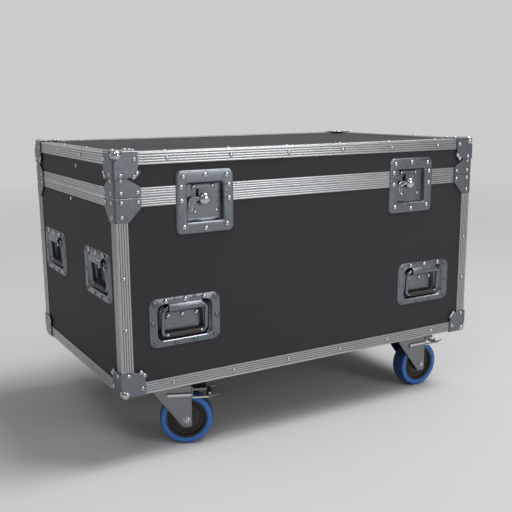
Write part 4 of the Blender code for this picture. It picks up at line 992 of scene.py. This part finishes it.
def caster_plate_shapes():
    """Top plate, fixed race, kingpin and nut, and four bolts with their washers."""
    shapes = [plate(rounded_box((-50, -35), (50, 35), 6), -1.0, 2.0, 0.4)]
    race = [
        (0.3, -0.7), (24, -0.7), (26.5, -1.6), (28, -3.4), (28, -5.2), (27, -7.0),
        (6, -7.0), (6, -12.4), (10, -12.6), (10, -15.6), (8.5, -17.6), (0.3, -17.6),
    ]
    shapes.append(turned(race, 40))
    washer = turned([(8, -1.0), (8, -2.2), (7.6, -2.5), (0.3, -2.5)], 20)
    bolt = plate(arc((0, 0), 6.5, 0, 300, 5), -6.6, -2.2, 0.5)
    for x, y in sorted(CORNER_NAMES):
        shapes += [placed(shape, moved(x * 40, y * 25)) for shape in (washer, bolt)]
    return shapes


def fork_shapes():
    """Two cheeks, a top plate with rounded bends, the crown over the bearing, and the axle."""
    bend = 4.0
    top, under, foot = -9.3, -12.3, -92.0
    corners = [(-36, top - bend), (-36, -19.3), (20, foot), (37, foot), (37, top - bend)]
    outline = rounded(corners, [0.5, 6, 5, 5, 0.5])
    shapes = [upright_plate(outline, 19, 22, 0.3), upright_plate(outline, -22, -19, 0.3)]
    shapes.append(box((-36, -18.2, under), (37, 18.2, top), 0.4))
    section = np.concatenate([arc((0, 0), bend, 0, 90, 6), arc((0, 0), bend - 3, 90, 0, 6)])
    for sign in (-1, 1):
        flat = np.column_stack([sign * (18 + section[:, 0]), top - bend + section[:, 1]])
        shapes.append(skin([level(flat, x)[:, [2, 0, 1]] for x in (-36, 37)]))
    shapes.append(placed(side_turned([(0.3, -22), (6, -22), (6, 22), (0.3, 22)], 24), moved(*AXLE)))
    crown = [(6.6, -7.3), (28, -7.3), (29.6, -8.0), (30, -9.4), (29.2, -11.4), (27, -12.2), (6.6, -12.2)]
    shapes.append(turned(crown, 44, looped=True))
    return shapes


def axle_head(sign):
    """The axle's domed head on one side of the fork, over a narrow groove: a quarter ellipse turned round."""
    angle = np.radians(np.linspace(0, 88, 8))
    dome = np.stack([5.9 * np.cos(angle), 22.9 + 3.9 * np.sin(angle)], -1)
    profile = np.concatenate([[(0.3, 21.6), (6.8, 21.6), (6.8, 22.4), (5.4, 22.5), (5.4, 22.8)], dome])
    return placed(side_turned(profile * (1, sign), 32), moved(*AXLE))


def tyre_shape():
    """The elastic band: flat sides down to the core, rounded shoulders and a crowned tread, the shoulders and
    tread painted dark as painted shade.
    """
    side = np.array([
        (38.6, 16.0), (39.2, 17.0), (43.0, 17.2), (46.0, 16.9),
        (47.3, 15.9), (48.4, 14.2), (49.4, 11.0), (49.9, 6.0),
    ])
    profile = np.concatenate([side, [(50.0, 0)], side[::-1] * (1, -1), [(37.8, -15), (37.8, 15)]])
    # The outer band of shoulders and tread takes the darker tread finish, as painted shade
    shadowed = (profile[:, 0] > 46.9) & (np.roll(profile[:, 0], -1) > 46.9)
    return side_turned(profile, 64, looped=True, dark=shadowed)


def core_shape():
    """The hard core: rim ring, sunk web with a raised ring, and the hub with its bearing."""
    side = np.array([
        (6.3, 18.6), (9.0, 18.6), (9.4, 18.0), (10.2, 18.0), (11.0, 18.7), (13.2, 18.7),
        (14.0, 18.0), (14.4, 11.0), (15.6, 9.6), (24.6, 8.8), (26.0, 10.2), (27.8, 10.2),
        (29.2, 8.8), (32.6, 9.6), (33.8, 14.6), (34.8, 15.6), (37.9, 15.8), (38.4, 15.2),
    ])
    return side_turned(np.concatenate([side, side[::-1] * (1, -1)]), 64, looped=True)


def pedal_shapes():
    """Side cheeks, post, shoe over the tyre and the upturned tread, measured from the kingpin."""
    shapes = []
    corners = [
        (-8, -35.8), (70, -35.8), (74, -34.6), (87.4, -29.6), (87.4, -28.6), (73, -31.4),
        (39.6, -31.4), (39.6, -12.6), (37.6, -12.6), (37.6, -25.4), (-8, -25.4),
    ]
    cheek = rounded(corners, [2.5, 2, 1, 0.6, 0.6, 2, 0.8, 0.8, 0.8, 0.8, 2.5], 3)
    for sign in ENDS:
        shapes.append(upright_plate(cheek, *sorted((sign * 22.3, sign * 23.9)), 0.25))
    shapes.append(box((37.6, -24.0, -23.8), (39.6, 24.0, -12.6), 0.6))
    hollow = rounded_box((39.0, -23.9), (66, -18.5), 2.2, 4)
    shapes.append(upright_plate(hollow, -17, 17, 1.0))
    line = smooth_line([(-5.5, -33.6), (-2, -33.6), (2, -33.5), (5.0, -33.0)], 2.0)
    points, *rest = strip(line, 44, 1.8, 0.6)
    shapes.append((np.column_stack([points[:, 1] + 70, points[:, 0], points[:, 2]]), *rest))
    return shapes


def pedal_bar_shapes():
    """The rolled bars along the cheeks, the lower rails and the stud at the near end, drawn in bright steel
    as a painted highlight on the zinc pedal.
    """
    shapes = []
    for sign in ENDS:
        bead = rounded_box((-8, -31.2), (37.4, -25.6), 2.6, 5)
        shapes.append(upright_plate(bead, *sorted((sign * 23.4, sign * 25.4)), 1.0))
        rail = rounded_box((38.4, -35.6), (68, -32.4), 1.4, 4)
        shapes.append(upright_plate(rail, *sorted((sign * 23.4, sign * 24.6)), 0.5))
    stud = turned([(0.3, -32.6), (2.8, -32.6), (2.8, -27.2), (2.0, -26.4), (0.3, -26.3)], 20)
    shapes.append(placed(stud, moved(70.5, -18, 0)))
    return shapes


# Operators


def case_size(name):
    """One of the sidebar's lengths, in millimetres."""
    return getattr(bpy.context.scene.road_case_sizes, name) / MM


class CaseStep:
    """What the operators share."""

    bl_options = {"REGISTER", "UNDO"}


class ROADCASE_OT_boards(CaseStep, bpy.types.Operator):
    """Face the boards with laminate"""

    bl_idname = "road_case.boards"
    bl_label = "Boards"

    def execute(self, context):
        make_finishes(context.scene.road_case_finish)
        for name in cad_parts:
            if name.endswith(("_panel", "_wall")):
                redress(name, "laminate")
        return {"FINISHED"}


class ROADCASE_OT_edging(CaseStep, bpy.types.Operator):
    """Build the ribbed angles along the edges and the rims of lid and base"""

    bl_idname = "road_case.edging"
    bl_label = "Edging"

    def execute(self, context):
        depth = case_size("rib_depth")
        section, dark = angle_section(context.scene.road_case_sizes.rib_count, depth, ANGLE_LEG, ANGLE_WALL)
        stile_low, rim_low, rim_high = 20.2, SEAM - 16.7, SEAM + 16.7
        for body, from_top, low, high in (
            ("base", False, stile_low, rim_low), ("lid", True, rim_high, HEIGHT - stile_low)
        ):
            shapes = [carried(section + RAIL_INSET, dark, CORNER_NAMES, True, from_top)]
            shapes += [stile(section, dark, x, y, low, high) for x, y in CORNER_NAMES]
            # The grooves take the groove finish, which is painted shade
            piece(f"edging_{body}", shapes, body, "aluminium", [f"{body}_edge_frame"], "groove")
        for body, joined_behind, rim, nodes in (
            ("base", False, base_rim_section, ["base_rim_frame", "base_rim_front"]),
            ("lid", True, lid_rim_section, ["lid_rim_frame"]),
        ):
            shapes = rim_shapes(*rim(depth), joined_behind)
            piece(f"rim_{body}", shapes, body, "aluminium", nodes, "groove")
        return {"FINISHED"}


class ROADCASE_OT_edging_rivets(CaseStep, bpy.types.Operator):
    """Set the rivets that hold the edging"""

    bl_idname = "road_case.edging_rivets"
    bl_label = "Edging Rivets"

    def execute(self, context):
        along_x = [sign * x for x in (61, 182, 304) for sign in ENDS]
        along_y = (-68, 68)
        base, lid = [], []
        radius = case_size("small_rivet_radius")
        height = radius * 0.42
        for side, half in HALF.items():
            spots = along_x if side in ("front", "back") else along_y
            out = -RAIL_INSET
            base.append(rivets([(x, 10.6) for x in spots], face(side, out=out), radius, height))
            lid.append(rivets([(x, HEIGHT - 12.0) for x in spots], face(side, out=out), radius, height))
            upright = [(sign * (half - 10.5), z) for z in (119, 209) for sign in ENDS]
            base.append(rivets(upright, face(side, out=-STILE_INSET), radius, height))
        top = face("top", out=0.4)
        for sign in ENDS:
            lid.append(rivets([(x, sign * (WIDTH / 2 - 11)) for x in along_x], top, radius, height))
            lid.append(rivets([(sign * (LENGTH / 2 - 11), y) for y in along_y], top, radius, height))
        for side, sign in (("left", 1), ("right", -1)):
            base.append(rivets([(sign * -9, 321)], face(side, out=-2.3), radius, height))
            lid.append(rivets([(sign * 32, 386)], face(side, out=-2.3), radius, height))
        rivet_piece("edging_rivets_base", base, "base")
        rivet_piece("edging_rivets_lid", lid, "lid")
        return {"FINISHED"}


class ROADCASE_OT_corners(CaseStep, bpy.types.Operator):
    """Build the ball corners and the braces at the seam, with their rivets"""

    bl_idname = "road_case.corners"
    bl_label = "Corners"

    def execute(self, context):
        ball, radius = case_size("ball_radius"), case_size("small_rivet_radius")
        height = radius * 0.6
        for body, top, outline, heights in (
            ("base", False, base_brace_outline(), (SEAM - 7.6, SEAM - 7.6, SEAM - 32.0)),
            ("lid", True, lid_brace_outline(), (SEAM + 8.6, SEAM + 8.6, SEAM + 28.6)),
        ):
            pegs = []
            for (x, y), name in CORNER_NAMES.items():
                name = f"ball_corner_{body}_{name}"
                replaced = name.replace(f"ball_corner_{body}", f"{body}_ball_corner")
                piece(name, ball_corner_shapes(x, y, top), body, "plated", [replaced])
                pegs += corner_rivet_places(x, y, top)
            balls = [corner_ball(x, y, top, ball) for x, y in CORNER_NAMES]
            piece(f"corner_balls_{body}", balls, body, "polished")
            braces = [brace_shape(x, y, outline) for x, y in CORNER_NAMES]
            piece(f"braces_{body}", braces, body, "plated")
            heads = [placed(rivet(radius, height), peg) for peg in pegs]
            for side, half in HALF.items():
                spots = [(sign * (half - a), z) for sign in ENDS for a, z in zip((11.2, 40.6, 11.2), heights)]
                heads.append(rivets(spots, face(side, out=1.2), radius, height))
            rivet_piece(f"corner_rivets_{body}", heads, body)
        return {"FINISHED"}


class ROADCASE_OT_handles(CaseStep, bpy.types.Operator):
    """Build the six sprung handles in their dishes"""

    bl_idname = "road_case.handles"
    bl_label = "Handles"

    def execute(self, context):
        dish_shape, strap = handle_dish_shape(), strap_shape()
        rod, sleeve = bail_shapes()
        radius = case_size("rivet_radius")
        heads, dull = [], []
        for name, side, across, up in handle_spots():
            place = face(side, across, up, -0.5)
            tray, dish = f"handle_tray_{name}", f"handle_dish_{name}"
            piece(tray, [dish_shape, strap], "base", "plated", [dish], place=place)
            hang = place @ moved(0, 24.6, -2.0) @ spun(4.0, "X")
            bail = f"handle_bail_{name}"
            piece(f"handle_rod_{name}", [rod], bail, "rod", [bail], place=hang)
            piece(f"handle_grip_{name}", [sleeve], bail, "rubber", place=hang)
            dull.append(rivets(HANDLE_SMALL_RIVETS, place, radius * 0.9, radius * 0.34))
            for spots, rise in ((HANDLE_FLANGE_RIVETS, 0.9), (HANDLE_FLOOR_RIVETS, -13.8)):
                heads.append(rivets(spots, place @ moved(z=rise), radius, radius * 0.62))
        rivet_piece("handle_rivets", heads, "base")
        # These rivets also carry painted shade round their heads and in their pin holes
        piece("handle_flange_rivets", dull, "base", "plated", dark="grime")
        return {"FINISHED"}


class ROADCASE_OT_latches(CaseStep, bpy.types.Operator):
    """Build the two butterfly latches, each split at the seam"""

    bl_idname = "road_case.latches"
    bl_label = "Latches"

    def execute(self, context):
        radius = case_size("rivet_radius")
        low = [spot for spot in LATCH_FLANGE_RIVETS if spot[1] < 0]
        high = [spot for spot in LATCH_FLANGE_RIVETS if spot[1] > 0]
        base_heads, lid_heads = [], []
        for sign, name in SIDE_NAMES.items():
            place = face("front", sign * LATCH_X, SEAM, 1.2)
            pivot = place @ moved(0, -LATCH_PIVOT_DROP, 0)
            barrel, wing, hook = (f"latch_{part}_{name}" for part in ("spindle", "wing", "hook"))
            tray, keep = f"latch_tray_{name}", f"latch_keep_{name}"
            lower = latch_half_shapes(-1) + latch_lugs()
            piece(tray, lower, "base", "plated", [f"latch_dish_{name}"], place=place)
            upper = latch_half_shapes(1)
            upper.append(plate(rounded_box((-22, 2.8), (22, 14.2), 3), -10.8, -9.3, 0.4))
            upper.append(box((-13.2, 2.6, -10.6), (13.2, 5.8, -8.2), 0.8))
            piece(keep, upper, "lid", "plated", [f"latch_keeper_{name}"], place=place)
            knob = [spindle_shape()]
            piece(f"latch_barrel_{name}", knob, barrel, "polished", [barrel], place=pivot)
            blade, rolled = wing_shapes()
            piece(f"latch_blade_{name}", [blade], wing, "plated", [wing], place=pivot)
            # Painted highlight: the wing's rolled rim takes the lighter bright steel while its blade stays
            # plated
            piece(f"latch_blade_highlight_rim_{name}", [rolled], wing, "bright", place=pivot)
            tilt = pivot @ moved(z=-6.4) @ spun(6.0, "X")
            piece(f"latch_fork_{name}", hook_shapes(), hook, "plated", [hook], place=tilt)
            for heads, spots, rise, share, dome in (
                (base_heads, low, 0.1, 1, 0.62),
                (base_heads, LATCH_FLOOR_RIVETS, -10.5, 0.8, 0.4),
                (lid_heads, high, 0.1, 1, 0.62),
                (lid_heads, KEEPER_RIVETS, -9.3, 0.75, 0.4),
            ):
                heads.append(rivets(spots, place @ moved(z=rise), radius * share, radius * dome))
        rivet_piece("latch_rivets_base", base_heads, "base")
        rivet_piece("latch_rivets_lid", lid_heads, "lid")
        return {"FINISHED"}


class ROADCASE_OT_hinges(CaseStep, bpy.types.Operator):
    """Give the two hinges at the back their finish, and set their rivets"""

    bl_idname = "road_case.hinges"
    bl_label = "Hinges"

    def execute(self, context):
        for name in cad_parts:
            if name.startswith("hinge_"):
                redress(name, "plated")
        radius = case_size("small_rivet_radius")
        for body, up in (("base", -21), ("lid", 21)):
            spots = [(x, up) for x in (-22, 0, 22)]
            heads = [rivets(spots, face("back", sign * LATCH_X, SEAM, 1.2), radius) for sign in ENDS]
            rivet_piece(f"hinge_rivets_{body}", heads, body)
        return {"FINISHED"}


class ROADCASE_OT_casters(CaseStep, bpy.types.Operator):
    """Build the four swivel casters, the front two with brakes"""

    bl_idname = "road_case.casters"
    bl_label = "Casters"

    def execute(self, context):
        for corner, name in CORNER_NAMES.items():
            fixed, turning = caster_place(corner, False), caster_place(corner)
            axle = turning @ moved(*AXLE)
            mount, fork, wheel = (f"caster_{part}_{name}" for part in ("plate", "fork", "wheel"))
            shapes = caster_plate_shapes()
            # The mount plates carry painted shade in their near-black finish
            piece(f"caster_mount_{name}", shapes, "base", "mount", [mount], place=fixed)
            piece(f"caster_yoke_{name}", fork_shapes(), fork, "zinc", [fork], place=turning)
            heads = [axle_head(sign) for sign in ENDS]
            piece(f"caster_axle_{name}", heads, fork, "polished", place=turning)
            # The tyre's shoulders and tread carry the tread finish's painted shade
            piece(f"caster_tyre_{name}", [tyre_shape()], wheel, "tyre", [wheel], "tread", axle)
            piece(f"caster_core_{name}", [core_shape()], wheel, "core", place=axle)
            if corner[1] < 0:
                pedal, brake = f"brake_pedal_{name}", f"caster_brake_{name}"
                piece(brake, pedal_shapes(), pedal, "zinc", [pedal], place=turning)
                # Painted highlight: the pedal's beads, rails and stud take the bright steel, lighter than the
                # zinc pedal
                bars = f"caster_brake_highlight_bars_{name}"
                piece(bars, pedal_bar_shapes(), pedal, "bright", place=turning)
        return {"FINISHED"}


# Stage


def camera_turn(yaw, pitch, roll):
    """A camera that looks along yaw from +Y towards +X, pitched down and rolled, as a rotation matrix."""
    yaw, pitch, roll = np.radians([yaw, pitch, roll])
    forward = np.array([np.sin(yaw) * np.cos(pitch), np.cos(yaw) * np.cos(pitch), -np.sin(pitch)])
    across = np.array([np.cos(yaw), -np.sin(yaw), 0])
    upward = np.cross(across, forward)
    right = np.cos(roll) * across + np.sin(roll) * upward
    above = -np.sin(roll) * across + np.cos(roll) * upward
    return Matrix(np.column_stack([right, above, -forward]).tolist()).to_4x4()


def aimed_lamp(name, spot, target, power, size):
    """A square lamp at a spot, facing its target."""
    lamp = bpy.data.lights.new(name, "AREA")
    lamp.energy, lamp.size = power, size
    made = shown(name, lamp)
    made.location = spot
    made.rotation_euler = (Vector(target) - made.location).to_track_quat("-Z", "Y").to_euler()


def backdrop_rays(tree):
    """One for the eye's, mirrored and refracted rays, which see the backdrop, and nought for the rest."""
    path = node(tree, "ShaderNodeLightPath").outputs
    seen = arithmetic(tree, "ADD", path["Is Camera Ray"], path["Is Glossy Ray"])
    return arithmetic(tree, "ADD", seen, path["Is Transmission Ray"], True)


def show_backdrop(tree, kind, stage, bright, share, shader, output):
    """The backdrop, dimmer where bright is low, takes the shader's place by a share."""
    colour = shaded(tree, bright, tint(stage.backdrop, 0.4), stage.backdrop)
    glow = node(tree, kind, Strength=1.0, Color=colour)
    choice = tree.nodes.new("ShaderNodeMixShader")
    surface = link_in_order(tree, choice, share, shader.outputs[0], glow.outputs[0])
    feed(tree, tree.nodes[output], Surface=surface)


def make_floor(stage):
    """A wide flat floor, which passes into the backdrop far from the case for the rays that see that. Towards
    -X that backdrop is painted dimmer, a painted fall-off of light.
    """
    mesh = bpy.data.meshes.new("floor")
    mesh.from_pydata([(x * FLOOR_REACH, y * FLOOR_REACH, 0) for x, y in CORNER_NAMES], [], [(0, 1, 2, 3)])
    material, tree, shader = new_finish("studio_floor")
    marks = handling_marks(tree, 0.8, 60.0, 0.3)
    pale = shaded(tree, marks, tint(stage.floor, 0.98), tint(stage.floor, 1.02))
    feed(tree, shader, Roughness=0.9, Specular_IOR_Level=0.0, Base_Color=pale)
    where = node(tree, "ShaderNodeTexCoord").outputs["Object"]
    reach = node(tree, "ShaderNodeVectorMath", operation="LENGTH", Vector=where).outputs["Value"]
    share = arithmetic(tree, "MULTIPLY", spread(tree, reach, 0.0, 1.0, 1.4, 5.0), backdrop_rays(tree))
    across = node(tree, "ShaderNodeSeparateXYZ", Vector=where).outputs["X"]
    # Painted shade: the backdrop glow on the floor dims to four tenths far towards -X
    bright = spread(tree, across, 0.0, 1.0, -3.0, -0.6)
    show_backdrop(tree, "ShaderNodeEmission", stage, bright, share, shader, "Material Output")
    mesh.materials.append(material)
    shown("floor", mesh)


def make_sky(scene, stage):
    """An even surrounding light. Eye and polished metal see the backdrop, dimmer to the left and in front."""
    scene.world = bpy.data.worlds.new("studio")
    scene.world.use_nodes = True
    tree = scene.world.node_tree
    light = feed(tree, tree.nodes["Background"], Color=(1, 1, 1, 1), Strength=stage.sky)
    where = node(tree, "ShaderNodeTexCoord").outputs["Generated"]
    axes = node(tree, "ShaderNodeSeparateXYZ", Vector=where).outputs
    behind = spread(tree, axes["Y"], 0.0, 1.0, -0.5, 0.4)
    aside = spread(tree, axes["X"], 0.35, 1.0, -0.75, 0.1)
    bright = arithmetic(tree, "MULTIPLY", behind, aside)
    show_backdrop(tree, "ShaderNodeBackground", stage, bright, backdrop_rays(tree), light, "World Output")


class ROADCASE_OT_stage(CaseStep, bpy.types.Operator):
    """Set the floor, the lamps and the camera"""

    bl_idname = "road_case.stage"
    bl_label = "Stage"

    def execute(self, context):
        scene, stage = context.scene, context.scene.road_case_stage
        make_floor(stage)
        make_sky(scene, stage)
        sun = bpy.data.lights.new("sun_lamp", "SUN")
        sun.energy, sun.angle = stage.sun, np.radians(SUN_ANGLE)
        shown("sun_lamp", sun).rotation_euler = Vector(KEY_DIRECTION).to_track_quat("Z", "Y").to_euler()
        for name, spot, aim, power, size in (
            ("key_lamp", (0.95, -0.4, 2.35), 0.4, stage.key, 1.8),
            ("fill_lamp", (0.9, -2.2, 1.0), 0.3, stage.fill, 0.9),
            ("rim_lamp", (-1.55, 1.7, 0.75), 0.35, stage.fill * 0.2, 0.25),
            ("spark_lamp", (-1.25, -1.45, 2.3), 0.35, stage.fill * 0.5, 0.6),
        ):
            aimed_lamp(name, spot, (0, 0, aim), power, size)
        camera = shown("camera", bpy.data.cameras.new("camera"))
        camera.data.lens = stage.lens
        camera.data.sensor_width = 36.0
        camera.matrix_world = Matrix.Translation(CAMERA_SPOT) @ camera_turn(*CAMERA_ANGLES)
        scene.camera = camera
        scene.view_settings.view_transform = "Standard"
        return {"FINISHED"}


STEPS = (
    ROADCASE_OT_stage,
    ROADCASE_OT_boards,
    ROADCASE_OT_edging,
    ROADCASE_OT_edging_rivets,
    ROADCASE_OT_corners,
    ROADCASE_OT_handles,
    ROADCASE_OT_latches,
    ROADCASE_OT_hinges,
    ROADCASE_OT_casters,
)
GROUPS = {"road_case_sizes": CaseSizes, "road_case_finish": CaseFinish, "road_case_stage": CaseStage}


class ROADCASE_PT_panel(bpy.types.Panel):
    """Lists the case's sizes, colours and steps"""

    bl_idname = "ROADCASE_PT_panel"
    bl_label = "Road Case"
    bl_space_type = "VIEW_3D"
    bl_region_type = "UI"
    bl_category = "Road Case"

    def draw(self, context):
        for key, kind in GROUPS.items():
            column = self.layout.box().column()
            for name in kind.__annotations__:
                column.prop(getattr(context.scene, key), name)
        for step in STEPS:
            self.layout.operator(step.bl_idname)


def register():
    for kind in (*GROUPS.values(), *STEPS, ROADCASE_PT_panel):
        bpy.utils.register_class(kind)
    for name, kind in GROUPS.items():
        setattr(bpy.types.Scene, name, PointerProperty(type=kind))


def unregister():
    for name in GROUPS:
        delattr(bpy.types.Scene, name)
    for kind in reversed((*GROUPS.values(), *STEPS, ROADCASE_PT_panel)):
        bpy.utils.unregister_class(kind)


def main():
    register()
    for step in STEPS:
        group, name = step.bl_idname.split(".")
        getattr(getattr(bpy.ops, group), name)()


if __name__ == "__main__":
    main()
